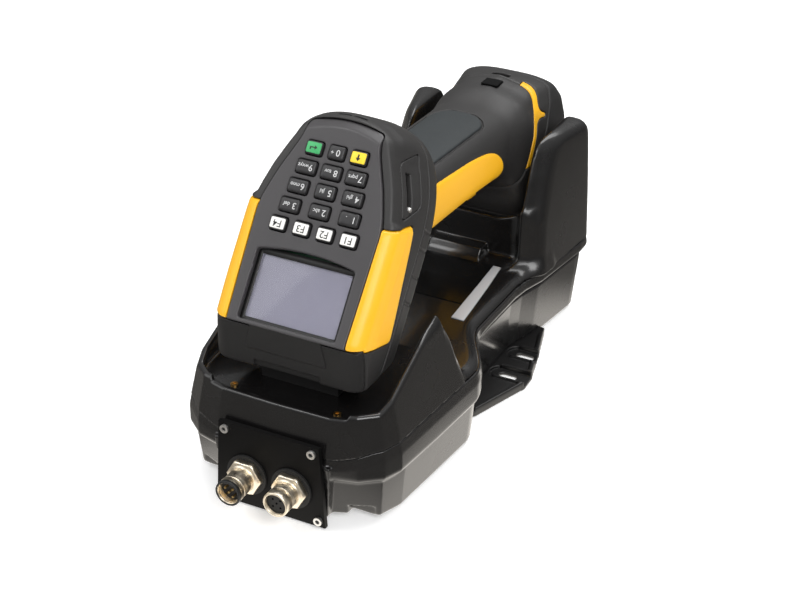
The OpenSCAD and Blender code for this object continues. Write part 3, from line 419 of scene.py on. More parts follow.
def wings_field(x, y, z):
    lid = (z - rim_at(y)) / np.sqrt(1 + rim_slope(y) ** 2)
    f = smooth_max(wall_field(x, y, z), lid, 1.8 + 5 * ease((y - WING_PEAK_Y + 18) / 16))
    f = cut(f, bowl_field(x, y, z), 1.6)
    lip = box_field(np.abs(x), y, z, (-9, FRONT_Y - 9, LIP_Z), (NEAR_HALF - 19, FRONT_Y + 12, WING_Z), 1.5)
    return cut(f, lip, 1.2)


def deck_field(x, y, z):
    inset = BELT_OUT + 7 * ease((BOWL_END_Y - 2 - y) / 10)
    return smooth_max(base_plan(x, y) + inset, z - DECK_Z, 7)


CROSS_WALL_T = 4.0


def cross_wall_field(x, y, z):
    """Wall between the deck and the well for the head, with a ramped tab in front of it."""
    across = np.abs(x)
    top = DECK_Z + 20.5 + 4 * ease((across - 18) / 15)
    wall = box_field(across, y, z, (-9, CROSS_WALL_Y, DECK_Z - 2),
                     (WELL_HALF + 1.5, CROSS_WALL_Y + CROSS_WALL_T, EAR_Z), 2)
    wall = smooth_max(wall, z - top, 2)
    ramp = (z - DECK_Z - np.minimum(5, (y - CROSS_WALL_Y + 11.5) * 1.1)) / 1.25
    tab = box_field(across, y, z, (-9, CROSS_WALL_Y - 12, DECK_Z - 2), (14, CROSS_WALL_Y + 1, DECK_Z + 9), 1)
    return smooth_min(wall, smooth_max(ramp, tab, 1.2), 1)


WELL_Z = 12.5
LINER_T = 2.0
ABOVE_Z = EAR_Z + 30
# Place of the contact block in the bowl's floor
BLOCK_LOW, BLOCK_HIGH = (-18, -86, 44), (18, -70, BOWL_Z + 9)


def base_top_field(x, y, z):
    f = smooth_min(wings_field(x, y, z), deck_field(x, y, z), 3)
    f = smooth_min(f, cross_wall_field(x, y, z), 3)
    f = smooth_min(f, ear_field(x, y, z), 1 + 6 * ease((EARS_Y0 + 20 - y) / 8))
    f = smooth_max(f, seam_at(x, y) - z, 0.6)
    liner = box_field(x, y, z, (-WELL_HALF - LINER_T, WELL_Y0 - LINER_T, WELL_Z - LINER_T),
                      (WELL_HALF + LINER_T, WELL_Y1 + LINER_T, DECK_Z - 1), 1)
    f = np.minimum(f, liner)
    well = box_field(x, y, z, (-WELL_HALF, WELL_Y0, WELL_Z), (WELL_HALF, WELL_Y1, ABOVE_Z), 2)
    f = cut(f, well, 1.5)
    way_in = box_field(x, y, z, (-WELL_HALF, WELL_Y0, DECK_Z), (WELL_HALF, FAR_Y + 30, ABOVE_Z), 2)
    f = cut(f, way_in, 1.5)
    return cut(f, box_field(x, y, z, BLOCK_LOW, BLOCK_HIGH, 0.6), 0.6)


TUB_Z = 0.6
low_at, _ = curve([(FRONT_Y, TUB_Z + 2.5), (FOOT_Y + 2, TUB_Z + 2), (FOOT_Y + 14, TUB_Z),
                   (FAR_Y, TUB_Z)], 1.5)
belt_low_at, _ = curve([(FRONT_Y, 24), (-60, 23), (-27, 23.5), (15, 33.5), (FAR_Y, 34)], 4)
PAD_SPOTS = [(NEAR_HALF - 17, FOOT_Y + 40), (FAR_HALF - 16, HEAD_Y + 1)]
PAD_R, PAD_Z = 7.2, 2.2
SCREW_SPOTS = [(35.5, FOOT_Y + 22), (35.5, FOOT_Y + 58), (WELL_HALF - 4, HEAD_Y - 37.5)]
SCREW_R, SCREW_Z = 3.4, 5
WELL_ROOM = LINER_T + PIECE_GAP


def belt_field(x, y, z):
    """Proud rib around the tub: it falls back to the wall above it, and its lower edge is crisp."""
    d = base_plan(x, y)
    seam = seam_at(x, y)
    low = belt_low_at(y)
    f = d + BELT_OUT * ease((z - seam + 6) / 6)
    f = smooth_max(f, z - seam + 0.25, 0.6)
    return smooth_max(f, (2 * (d + 3) - 3 * (z - low + 1.5)) / math.sqrt(13), 2)


def base_tub_field(x, y, z):
    across = np.abs(x)
    lower = lower_plan(x, y) + TUB_DRAFT * (belt_low_at(y) - z) / 25
    lower = smooth_max(lower, low_at(y) - z, 1.5)
    lower = smooth_max(lower, z - SEAM_Z + 8, 1)
    lower = cut(lower, box_field(across, y, z, (32, FRONT_Y - 9, -9), (43, FRONT_Y + 14, 7.5), 1), 1)
    f = smooth_min(belt_field(x, y, z), lower, 1.2)
    f = np.maximum(f, low_at(y) - z)
    notch = box_field(across, y, z, (27, FRONT_Y - 9, 31), (29.2, FRONT_Y + 1.6, SEAM_Z + 4), 0.8)
    f = cut(f, notch, 0.8)
    f = cut(f, np.maximum(bracket_plan(x, y) - PIECE_GAP, z - BRACKET_T - PIECE_GAP), 0.4)
    for spots, radius, top in ((PAD_SPOTS, PAD_R, PAD_Z), (SCREW_SPOTS, SCREW_R, SCREW_Z)):
        for spot in spots:
            f = cut(f, np.maximum(np.hypot(across - spot[0], y - spot[1]) - radius, z - top), 0.4)
    well = box_field(x, y, z, (-WELL_HALF - WELL_ROOM, WELL_Y0 - WELL_ROOM, WELL_Z - WELL_ROOM),
                     (WELL_HALF + WELL_ROOM, WELL_Y1 + WELL_ROOM, 60), 0.6)
    return cut(f, well, 0.4)


SLOT_X = BRACKET_HALF - 11
SLOT_Y = BRACKET_Y0 + 54
SLOT_R = 2.5
SLOT_APART = 10
RIM_UP = 4.2
U_IN = 41.5
U_R = 5.4


def bracket_field(x, y, z):
    """Tray with a raised rim and two raised U walls on each side, open towards the outer edge."""
    d = bracket_plan(x, y)
    across = np.abs(x)
    beside_tub = -base_plan(x, y) - 1.5
    plate = smooth_max(d, np.maximum(-z, z - BRACKET_T), 0.8)
    rim = smooth_max(np.abs(d + 1) - 1, np.maximum(-z, z - RIM_UP), 0.8)
    f = smooth_min(plate, smooth_max(rim, beside_tub, 0.6), 0.8)
    for sy in (-1, 1):
        reach = np.hypot(np.maximum(U_IN - across, 0), y - SLOT_Y - sy * SLOT_APART)
        f = cut(f, np.maximum(reach - U_R, BRACKET_T - 1.4 - z), 0.5)
        wall = smooth_max(np.abs(reach - U_R) - 0.7, np.maximum(-z, z - RIM_UP), 0.8)
        wall = smooth_max(wall, np.maximum(d, beside_tub), 0.6)
        f = smooth_min(f, wall, 0.8)
        slot = np.hypot(np.maximum(np.abs(across - SLOT_X) - 2, 0), y - SLOT_Y - sy * SLOT_APART) - SLOT_R
        f = cut(f, np.maximum(slot, np.abs(z - 3) - 9), 0.5)
    return f


# Scanner fields

FACE_POWER = 2 / 0.85
WAIST_V = 45.0
# Rows of the foot: share of its depth, then of its width and length there
FOOT_ROWS = [(0, 0.84, 0.968), (0.036, 0.905, 0.978), (0.095, 0.97, 0.992), (0.24, 1, 1.015),
             (0.57, 1, 1.036), (0.81, 0.985, 1.038), (1, 0.93, 0.995)]
wide_at, wide_slope = curve([(-FOOT_DEPTH * r[0], r[1] * FOOT_W / 2) for r in FOOT_ROWS[::-1]], 0.9)
long_at, _ = curve([(-FOOT_DEPTH * r[0], r[2] * FOOT_LEN) for r in FOOT_ROWS[::-1]], 0.9)


def turned(y, z, y0, z0, angle):
    """Places along and square to a line that starts at a point and rises by an angle."""
    c, s = math.cos(angle), math.sin(angle)
    return (y - y0) * c + (z - z0) * s, -(y - y0) * s + (z - z0) * c


def face_place(y, z):
    """Height up the face and distance out of it."""
    return turned(y, z, FOOT_Y, FOOT_Z, FOOT_TILT)


def rounded(a, b, half, rise, power):
    """Distance past a rounded outline, from the shares reached of its half width and its rise."""
    r = np.maximum((a ** power + b ** power) ** (1 / power), 0.3)
    steep = r ** (1 - power) * np.sqrt((a ** (power - 1) / half) ** 2 + (b ** (power - 1) / rise) ** 2)
    return (r - 1) / np.maximum(steep, 1 / 60)


def rounded_wall(x, v, half, top, power):
    """Side wall of the foot: straight up to its waist and rounded above it."""
    half = half - 1.5 * np.clip((20 - v) / 65, 0, 1)
    rise = top - WAIST_V
    return rounded(np.abs(x) / half, np.maximum(v - WAIST_V, 0) / rise, half, rise, power)


# Half width of the face plate at heights up the face: it narrows above the display
FACE_EDGE = [(-10, 28.6), (0, 28.8), (20, 29.3), (50, 29.9), (55, 29.3), (60, 27.9), (69, 25.0), (77, 21.7),
             (84, 18.9), (88, 18.1), (99, 17.8)]
face_half, face_half_slope = curve(FACE_EDGE, 1.5)
SHOULDER_OUT = 4.6
SHOULDER_SPREAD = 0.36


def face_edge(x, v):
    """Distance past the edge of the face plate, which ends in a shallow arch."""
    sides = (np.abs(x) - face_half(v)) / np.sqrt(1 + face_half_slope(v) ** 2)
    return smooth_max(sides, v - 95.2 + 0.008 * x * x, 2.5)


def foot_field(x, y, z):
    v, w = face_place(y, z)
    power = FACE_POWER + 0.5 * ease((-4 - w) / 14)
    wall = rounded_wall(x, v, wide_at(w), long_at(w), power) / np.sqrt(1 + wide_slope(w) ** 2)
    shoulder = (face_edge(x, v) - SHOULDER_OUT + SHOULDER_SPREAD * (w + 2)) / math.hypot(1, SHOULDER_SPREAD)
    wall = smooth_max(wall, shoulder - 14 * ease((58 - v) / 8), 3)
    f = smooth_max(wall, w, 1.6)
    f = smooth_max(f, -FOOT_DEPTH - w, 7)
    f = smooth_max(f, FOOT_LOW_Z - z, 2.5)
    corner = 0.671 * (np.abs(x) - 33.6) - 0.742 * (y - FOOT_FRONT_Y - 1.2)
    return smooth_max(f, smooth_max(FOOT_FRONT_Y - y, corner, 2), 1.2)


def hollow(f):
    """Shell of one wall thickness under the surface of a form."""
    return cut(f, f + SHELL_WALL, 0.4)


def foot_shell(x, y, z):
    return hollow(foot_field(x, y, z))


FACE_GAP = 0.15
RECESS = 0.9


def face_opening(x, y, z):
    v, w = face_place(y, z)
    return np.maximum(face_edge(x, v) - FACE_GAP, -FACE_T - 2 - w)


BUMPER_Y = FOOT_FRONT_Y + 4
BUMPER_Z = FOOT_Z - 0.6


def bumper_space(y, z, gap):
    return np.maximum(y - BUMPER_Y - gap, z - BUMPER_Z - gap)


BAND_CORNERS = [(-1.5, 2), (52, 2), (60, -15), (9.5, 1.6 - FOOT_SPLIT)]


def prism(u, v, corners, k):
    """A corner list, clockwise, as a field with corners rounded over k."""
    f = None
    for (ax, ay), (bx, by) in zip(corners, corners[1:] + corners[:1]):
        dx, dy = bx - ax, by - ay
        side = ((v - ay) * dx - (u - ax) * dy) / math.hypot(dx, dy)
        f = side if f is None else smooth_max(f, side, k)
    return f


def band_space(x, y, z, gap):
    v, w = face_place(y, z)
    return np.maximum(prism(v, w, BAND_CORNERS, 2), 12 - np.abs(x)) + gap


LANYARD_SLOT_V, LANYARD_SLOT_W = 72.5, -11.5
LANYARD_CORNERS = [(59, -7), (83, -7), (91, -19), (68, -19)]


def lanyard_space(x, y, z, gap):
    v, w = face_place(y, z)
    return np.maximum(prism(v, w, LANYARD_CORNERS, 2), 10 - x) + gap


TOP_SLOT_X = 3.9
TOP_SLOT_W = -4.4
TOP_SLOT_HALF = 3.1


def top_slot_space(x, v, w):
    """The two slots in the top end of the frame, side by side."""
    across = np.abs(np.abs(x) - TOP_SLOT_X) - TOP_SLOT_HALF
    return np.maximum(np.maximum(across, np.abs(w - TOP_SLOT_W) - 1.0), 92 - v)


def painted_slot_shade_field(x, y, z):
    """Painted shade in the top slots: a dark sheet a little under the skin of the frame."""
    v, w = face_place(y, z)
    f = foot_field(x, y, z)
    return np.maximum(top_slot_space(x, v, w) + 0.15, np.maximum(f + 0.12, -1.6 - f))


def front_frame_field(x, y, z):
    v, w = face_place(y, z)
    f = smooth_max(foot_shell(x, y, z), 0.15 - FOOT_SPLIT - w, 0.8)
    f = smooth_max(f, w + RECESS * ease((v - 51) / 2.5), 1.0)
    f = cut(f, bumper_space(y, z, PIECE_GAP), 0.6)
    f = cut(f, band_space(x, y, z, 0), 0.6)
    f = cut(f, lanyard_space(x, y, z, 0), 0.5)
    f = cut(f, face_opening(x, y, z), 0.6)
    return cut(f, top_slot_space(x, v, w), 0.5)


RIB_V = (60, 52, 40, 28)


def rear_shell_field(x, y, z):
    v, w = face_place(y, z)
    f = smooth_max(foot_shell(x, y, z), w + FOOT_SPLIT + 0.15, 0.8)
    for place in RIB_V:
        groove = np.maximum(np.abs(v - place) - 0.5, np.maximum(w + FOOT_SPLIT + 1, -37 - w))
        outer = np.maximum(groove, -(foot_field(x, y, z) + 0.45))
        f = cut(f, outer, 0.6)
    f = cut(f, bumper_space(y, z, PIECE_GAP), 0.6)
    return cut(f, handle_field(x, y, z) + 8, 0.6)


def band_field(x, y, z):
    f = foot_field(x, y, z)
    band = smooth_max(f - 0.35, band_space(x, y, z, 0.25), 1.6)
    band = cut(band, f + SHELL_WALL, 0.4)
    band = cut(band, bumper_space(y, z, PIECE_GAP), 0.6)
    return cut(band, face_opening(x, y, z), 0.5)


def end_bumper_field(x, y, z):
    v, w = face_place(y, z)
    f = smooth_max(foot_shell(x, y, z), bumper_space(y, z, 0), 0.8)
    notch = box_field(np.abs(x), y, z, (-9, FOOT_FRONT_Y - 9, 50), (16, FOOT_FRONT_Y + 1.3, 65), 0.5)
    f = cut(f, notch, 0.6)
    return cut(f, np.maximum(0.1 - v, -FACE_T - 0.3 - w), 0.5)


def lanyard_field(x, y, z):
    v, w = face_place(y, z)
    f = foot_field(x, y, z)
    g = smooth_max(smooth_max(f + 0.15, -(f + SHELL_WALL), 0.5), lanyard_space(x, y, z, 0.2), 0.5)
    slot = np.maximum(np.abs(v - LANYARD_SLOT_V) - 7.5, np.abs(w - LANYARD_SLOT_W) - 1.4)
    return cut(g, slot, 0.5)


HANDLE_POWER = 2 / 0.7
HANDLE_END = 140
# Rows of the handle: place along it, then what is added to its half width, upper and lower half height
HANDLE_ROWS = [(0, 0, 0.5, 0.5), (60, 0, 0, 0), (95, 0, 0, 0), (117, 0.2, 0, 1), (129, 0.5, 0.3, 7),
               (138, 0.8, 0.6, 15)]
grip_half, _ = curve([(r[0], HANDLE_W / 2 + r[1]) for r in HANDLE_ROWS], 4)
grip_up, _ = curve([(r[0], HANDLE_H / 2 + r[2]) for r in HANDLE_ROWS], 4)
grip_down, _ = curve([(r[0], HANDLE_H / 2 + r[3]) for r in HANDLE_ROWS], 4)


def handle_place(y, z):
    """Place along the handle and height over its middle line."""
    return turned(y, z, HANDLE_Y, HANDLE_Z, HANDLE_SLOPE)


def handle_field(x, y, z):
    u, w = handle_place(y, z)
    half = grip_half(u)
    high = np.where(w > 0, grip_up(u), grip_down(u))
    wall = rounded(np.abs(x) / half, np.abs(w) / high, half, high, HANDLE_POWER)
    return smooth_max(wall, u - HANDLE_END, 4)


# Rows of the head: depth under its top, insets of the near and far corners, near and far ends
HEAD_ROWS = [(HEAD_LEN, 3.5, 2.5, -18, 9), (HEAD_LEN - 16, 2, 1, -20, 9.5), (71, 1.5, 0.5, -22, 10),
             (53, 2.5, 0, -24, 18), (37, 4.5, 0, -24, 23), (22, 7.5, 0.5, -22.5, 25.5),
             (12, 10.5, 3, -18.5, 26), (6, 14, 6.5, -13.5, 24.5), (2, 19, 11.5, -8, 20),
             (0, 23, 18.5, -4, 14)]
head_curves = [curve([(HEAD_TOP_Z - row[0], row[i]) for row in HEAD_ROWS], 1.6) for i in range(1, 5)]


def head_field(x, y, z):
    near, far, y0, y1 = [c[0](z) for c in head_curves]
    near_slope, far_slope, y0_slope, y1_slope = [c[1](z) for c in head_curves]
    y0, y1 = HEAD_Y + y0, HEAD_Y + y1
    t = np.clip((y - y0) / (y1 - y0), 0, 1)
    half = HEAD_W / 2 - near + (near - far) * t
    slope = near_slope + (far_slope - near_slope) * t
    sides = (np.abs(x) - half) / np.sqrt(1 + slope ** 2)
    ends = smooth_max((y0 - y) / np.sqrt(1 + y0_slope ** 2), (y - y1) / np.sqrt(1 + y1_slope ** 2), 6)
    f = smooth_max(sides, ends, 9)
    f = smooth_max(f, z - HEAD_TOP_Z, 5)
    return smooth_max(f, HEAD_TOP_Z - HEAD_LEN - z, 1)


def gun_field(x, y, z):
    return smooth_min(handle_field(x, y, z), head_field(x, y, z), 9)


HEAD_SPLIT_Y = HEAD_Y + 5
HEAD_SPLIT_Z = HEAD_TOP_Z - 1.3
HEAD_SPLIT_TURN = math.radians(55)
TRIM_T = 3.0
TRIM_X = 12.0
TRIM_LEFT_X = 22.0
COVER_T = 11.0
BEZEL_TOP_Z = HEAD_TOP_Z - HEAD_LEN + 9
TRIGGER_Y = HEAD_Y - 29
TRIGGER_Z = HANDLE_Z - 19.5
TRIGGER_HALF = 7.4
LAMP_W, LAMP_L = 8.6, 7.0
LAMP_Y = HEAD_Y - 2
VENT_W, VENT_L = 9.2, 3.4
VENT_Y = HEAD_Y + 8.7
SKIN_UP = 0.8


def trigger_space(x, y, z):
    """Room for the trigger under the handle."""
    return box_field(x, y, z, (-TRIGGER_HALF, TRIGGER_Y - 26.5, TRIGGER_Z - 30),
                     (TRIGGER_HALF, TRIGGER_Y + 4.6, TRIGGER_Z + 9), 0.6)


def split_at(y, z):
    """Distance past the leaning plane between the body and the nose of the head."""
    return (y - HEAD_SPLIT_Y) * math.sin(HEAD_SPLIT_TURN) - (z - HEAD_SPLIT_Z) * math.cos(HEAD_SPLIT_TURN)


FORK = [(103.5, 104.0), (105.5, 107.2), (111.5, 104.3), (110.8, 102.3)]
TRIM_LOW_Z = 84.0


def trim_space(x, y, z):
    """Place of the yellow trim on each side of the head, with a short fork towards the rear."""
    s = split_at(y, z)
    stripe = np.maximum(np.maximum(-s, s - TRIM_T), np.where(x > 0, TRIM_X, TRIM_LEFT_X) - np.abs(x))
    fork = np.maximum(prism(y, z, FORK, 1), np.maximum(20 - np.abs(x), -s))
    return np.maximum(smooth_min(stripe, fork, 4), TRIM_LOW_Z - z)


def head_shell(x, y, z):
    return smooth_max(hollow(gun_field(x, y, z)), BEZEL_TOP_Z + PIECE_GAP - z, 0.6)


def gun_body_field(x, y, z):
    f = gun_field(x, y, z)
    g = smooth_max(hollow(f), split_at(y, z) + PIECE_GAP, 0.9)
    g = cut(g, foot_field(x, y, z) - PIECE_GAP, 0.5)
    g = cut(g, trigger_space(x, y, z), 0.6)
    lamp = box_field(x, y, z, (-LAMP_W / 2, LAMP_Y - LAMP_L / 2, HEAD_TOP_Z - 2),
                     (LAMP_W / 2, LAMP_Y + LAMP_L / 2, HEAD_TOP_Z + 9), 0.5)
    u, w = handle_place(y, z)
    groove = np.abs(grip_outline(x, u) - 0.35) - 0.45
    groove = np.maximum(groove, np.maximum(-(f + 0.7), -w))
    g = cut(g, groove, 0.4)
    return cut(g, lamp, 0.5)


GRIP_HALF = 14.0
GRIP_TIP = 116.0


def grip_outline(x, u):
    """Distance to the outline of the grip pad, seen from above."""
    tip = np.hypot(np.maximum(np.abs(x) - 3, 0), np.maximum(u - GRIP_TIP + 11, 0)) - 11
    return np.maximum(tip, 30 - u)


def grip_field(x, y, z):
    u, w = handle_place(y, z)
    f = gun_field(x, y, z)
    g = smooth_max(f - 0.25, grip_outline(x, u), 0.9)
    g = np.maximum(g, -(f + 0.6))
    g = np.maximum(g, -w)
    return cut(g, foot_field(x, y, z) - 0.3, 0.5)


BAND_OUTLINE = [(20, 11), (95, 7.8), (106, 5), (113, 0.5), (118, -6), (119, -13), (115, -17), (20, -17)]


def handle_band_field(x, y, z):
    u, w = handle_place(y, z)
    f = gun_field(x, y, z)
    g = smooth_max(f - SKIN_UP, prism(u, w, BAND_OUTLINE, 4), 1.6)
    g = np.maximum(g, -(f + 0.3))
    g = np.maximum(g, GRIP_HALF + 1 - np.abs(x))
    g = cut(g, trigger_space(x, y, z), 0.5)
    return cut(g, foot_field(x, y, z) - 0.3, 0.5)


def trim_field(x, y, z):
    return smooth_max(head_shell(x, y, z), trim_space(x, y, z) + 0.1, 0.6)


def cover_field(x, y, z):
    s = split_at(y, z)
    g = smooth_max(head_shell(x, y, z), np.maximum(0.1 - s, s - COVER_T + PIECE_GAP), 0.9)
    g = cut(g, trim_space(x, y, z) - 0.1, 0.6)
    vent = box_field(x, y, z, (-VENT_W / 2, VENT_Y - VENT_L / 2, HEAD_TOP_Z - 3),
                     (VENT_W / 2, VENT_Y + VENT_L / 2, HEAD_TOP_Z + 9), 0.5)
    return cut(g, vent, 0.5)


def head_bumper_field(x, y, z):
    g = smooth_max(head_shell(x, y, z), COVER_T - split_at(y, z), 0.9)
    return cut(g, trim_space(x, y, z) - 0.1, 0.6)


def nose_field(x, y, z):
    return smooth_max(hollow(gun_field(x, y, z)), z - BEZEL_TOP_Z, 0.6)


FACE_AT = Matrix.Translation((0, FOOT_Y * MM, FOOT_Z * MM)) @ Matrix.Rotation(FOOT_TILT, 4, "X")


def in_face(field):
    """The same field, read in the frame of the scanner's face."""
    c, s = math.cos(FOOT_TILT), math.sin(FOOT_TILT)
    return lambda x, v, w: field(x, FOOT_Y + v * c - w * s, FOOT_Z + v * s + w * c)


DISPLAY_HALF = 23.8
DISPLAY_V = (2.2, 33.0)
DISPLAY_ARCH = 2.6
KEY_ROW_V = 45.1
KEY_ROW_PITCH = 8.75
KEY_H = 6.0
KEY_RISE = 1.7
KEY_GAP = 0.4
KEY_PITCH = [11.4, 14.4, 13.2, 12.0, 10.8]
KEY_WIDTH = [7.6, 9.4, 9.4, 9.4, 7.6]
KEY_ROWS = [["f4", "f3", "f2", "f1"], ["3", "2", "1"], ["6", "5", "4"], ["9", "8", "7"],
            ["enter", "0", "arrow"]]
KEY_SPOTS = [(key, (i - (len(row) - 1) / 2) * KEY_PITCH[n], KEY_ROW_V + n * KEY_ROW_PITCH, KEY_WIDTH[n])
             for n, row in enumerate(KEY_ROWS) for i, key in enumerate(row)]
FACE_UP = 0.3


def face_plate_field(x, v, w):
    f = smooth_max(face_edge(x, v) + FACE_GAP, w - FACE_UP, 1.0)
    bevel = (w - FACE_UP + 0.6 * (v - 91.4 + 0.0115 * x * x)) / 1.17
    f = smooth_max(f, bevel, 0.5)
    f = smooth_max(f, np.maximum(-FACE_T - w, 0.4 - v), 0.5)
    arch = DISPLAY_V[1] + DISPLAY_ARCH * (1 - (x / DISPLAY_HALF) ** 2)
    display = smooth_max(np.abs(x) - DISPLAY_HALF, np.maximum(DISPLAY_V[0] - v, v - arch), 1.5)
    f = cut(f, np.maximum(display, np.abs(w) - 9), 0.8)
    for _, kx, kv, width in KEY_SPOTS:
        hole = smooth_max(np.abs(x - kx) - width / 2 - KEY_GAP, np.abs(v - kv) - KEY_H / 2 - KEY_GAP, 1.6)
        f = np.where(hole < 2, cut(f, np.maximum(hole, np.abs(w) - 9), 0.5), f)
    return f


# Materials

def node(tree, kind, **values):
    """A new node, with its sockets and settings by name."""
    made = tree.nodes.new(kind)
    for key, value in values.items():
        if key in made.inputs:
            made.inputs[key].default_value = value
        else:
            setattr(made, key, value)
    return made


def new_material(name):
    made = bpy.data.materials.new(name)
    made.use_nodes = True
    tree = made.node_tree
    return made, tree, tree.nodes["Principled BSDF"]


def put(made, values):
    """Sets a node's sockets by name."""
    for key, value in values.items():
        made.inputs[key].default_value = value


def map_range(tree, value, span, to, **settings):
    """Socket with a value taken from one span to another."""
    made = node(tree, "ShaderNodeMapRange", **settings)
    put(made, {"From Min": span[0], "From Max": span[1], "To Min": to[0], "To Max": to[1]})
    tree.links.new(value, made.inputs["Value"])
    return made.outputs["Result"]


def texture(tree, kind, size_mm, **values):
    """A texture in the object's own space."""
    place = node(tree, "ShaderNodeTexCoord")
    made = node(tree, kind, Scale=1 / (size_mm * MM), **values)
    tree.links.new(place.outputs["Object"], made.inputs["Vector"])
    return made


def noise(tree, size_mm, detail=3.0):
    return texture(tree, "ShaderNodeTexNoise", size_mm, Detail=detail)


def tone(tree, shader, colour, spread, source):
    """Colour that drifts slightly over the surface."""
    mix = node(tree, "ShaderNodeMix", data_type="RGBA")
    mix.inputs["A"].default_value = (*[c * (1 - spread) for c in colour], 1)
    mix.inputs["B"].default_value = (*[min(1, c * (1 + spread)) for c in colour], 1)
    tree.links.new(source.outputs["Fac"], mix.inputs["Factor"])
    tree.links.new(mix.outputs["Result"], shader.inputs["Base Color"])
    return mix


def spread_rough(tree, shader, rough, spread, source):
    """Roughness that drifts slightly over the surface."""
    level = map_range(tree, source.outputs["Fac"], (0.3, 0.7), (rough - spread, rough + spread))
    tree.links.new(level, shader.inputs["Roughness"])


def bumped(tree, shader, source, depth_mm, strength=0.5, output="Fac"):
    bump = node(tree, "ShaderNodeBump", Strength=strength, Distance=depth_mm * MM)
    tree.links.new(source.outputs[output], bump.inputs["Height"])
    tree.links.new(bump.outputs["Normal"], shader.inputs["Normal"])


def drifting(name, colour, rough, size_mm, spread, rough_spread):
    """A new material whose tone and gloss drift over a given length."""
    made, tree, shader = new_material(name)
    slow = noise(tree, size_mm)
    tone(tree, shader, colour, spread, slow)
    spread_rough(tree, shader, rough, rough_spread, slow)
    return made, tree, shader


def moulded(name, colour, rough, grain_mm=0.35, grain_depth=0.03, spread=0.12, rough_spread=0.04, coat=0.0):
    """Moulded plastic: a fine spark-eroded grain and slow changes of tone and gloss."""
    made, tree, shader = drifting(name, colour, rough, 22, spread, rough_spread)
    bumped(tree, shader, noise(tree, grain_mm, 2.0), grain_depth)
    put(shader, {"Coat Weight": coat, "Coat Roughness": 0.08})
    return made


def plated(name, colour, rough):
    """Plated metal with fine marks and small stains."""
    made, tree, shader = drifting(name, colour, rough, 3, 0.12, 0.08)
    put(shader, {"Metallic": 1.0})
    bumped(tree, shader, noise(tree, 0.25), 0.01, 0.4)
    return made


def pebbled(name, colour, rough, size_mm, depth_mm):
    """Soft grip skin with a pebbled surface."""
    made, tree, shader = drifting(name, colour, rough, 14, 0.15, 0.05)
    bumped(tree, shader, texture(tree, "ShaderNodeTexVoronoi", size_mm), depth_mm, 0.6, "Distance")
    return made


def glass(name, tint, rough):
    """Clear window pane."""
    made, _, shader = drifting(name, tint, rough, 9, 0.03, 0.01)
    put(shader, {"Transmission Weight": 1.0, "IOR": 1.3})
    return made


def screen(name):
    """Grey liquid crystal panel with a faint painted glow in its own tint."""
    made, tree, shader = new_material(name)
    mix = tone(tree, shader, (0.315, 0.31, 0.385), 0.04, noise(tree, 30))
    # Painted glow: the panel's own tint is also fed in as emission
    tree.links.new(mix.outputs["Result"], shader.inputs["Emission Color"])
    put(shader, {"Roughness": 0.35, "Emission Strength": 0.15})
    return made


base_black = moulded("base_black", (0.006, 0.0056, 0.0056), 0.25, 2.0, 0.0004, 0.2, 0.04, 0.3)
plate_black = moulded("plate_black", (0.004, 0.0038, 0.0038), 0.5, 0.3, 0.01)
bracket_black = moulded("bracket_black", (0.006, 0.0057, 0.0057), 0.42, 0.4, 0.02)
shell_grey = moulded("shell_grey", (0.0225, 0.0215, 0.0212), 0.48, 0.3, 0.035)
face_grey = moulded("face_grey", (0.047, 0.0445, 0.0468), 0.4, 0.3, 0.025)
trim_black = moulded("trim_black", (0.011, 0.0105, 0.0105), 0.5, 0.35, 0.03)
label_black = moulded("label_black", (0.003, 0.003, 0.003), 0.2, 1.2, 0.004, 0.1, 0.03, 0.1)
# Dull black for the lamp window, and also for the painted shade in the top slots
lamp_and_shade_black = moulded("lamp_and_shade_black", (0.002, 0.002, 0.002), 0.6, 1.2, 0.004, 0.1)
for dull in (lamp_and_shade_black, plate_black):
    put(dull.node_tree.nodes["Principled BSDF"], {"Specular IOR Level": 0.1})
# Pale grey for the painted highlight strips on the deck
highlight_grey = moulded("highlight_grey", (0.42, 0.42, 0.43), 0.35, 1.0, 0.004, 0.05)
band_yellow = moulded("band_yellow", (0.87, 0.44, 0.008), 0.36, 0.4, 0.02, 0.05, 0.04)
key_dark = moulded("key_dark", (0.021, 0.0203, 0.0215), 0.44, 0.3, 0.02)
key_white = moulded("key_white", (0.80, 0.79, 0.76), 0.42, 0.3, 0.015, 0.03)
key_green = moulded("key_green", (0.045, 0.36, 0.12), 0.42, 0.3, 0.015, 0.06)
key_yellow = moulded("key_yellow", (0.86, 0.62, 0.03), 0.42, 0.3, 0.015, 0.05)
ink_white = moulded("ink_white", (0.58, 0.58, 0.58), 0.5, 0.3, 0.004, 0.04)
# Black print on the keys and the display border, and also the painted shade in the screw sockets
ink_and_shade_black = moulded("ink_and_shade_black", (0.012, 0.012, 0.012), 0.5, 0.3, 0.004, 0.1)
rubber_black = pebbled("rubber_black", (0.010, 0.010, 0.010), 0.7, 0.6, 0.05)
grip_slate = pebbled("grip_slate", (0.019, 0.024, 0.026), 0.6, 0.55, 0.09)
bumper_rubber = pebbled("bumper_rubber", (0.014, 0.0135, 0.0135), 0.56, 0.5, 0.03)
nickel = plated("nickel", (0.95, 0.82, 0.66), 0.34)
steel = plated("steel", (0.72, 0.71, 0.69), 0.42)
brass = plated("brass", (0.62, 0.38, 0.13), 0.3)
gold = plated("gold", (0.83, 0.58, 0.22), 0.25)
pin_bronze = plated("pin_bronze", (0.42, 0.30, 0.13), 0.4)
insert_black = moulded("insert_black", (0.006, 0.006, 0.006), 0.5, 0.4, 0.01)
board_green = moulded("board_green", (0.012, 0.075, 0.03), 0.4, 1.0, 0.02, 0.2)
cell_blue = moulded("cell_blue", (0.05, 0.11, 0.22), 0.35, 2.0, 0.01)
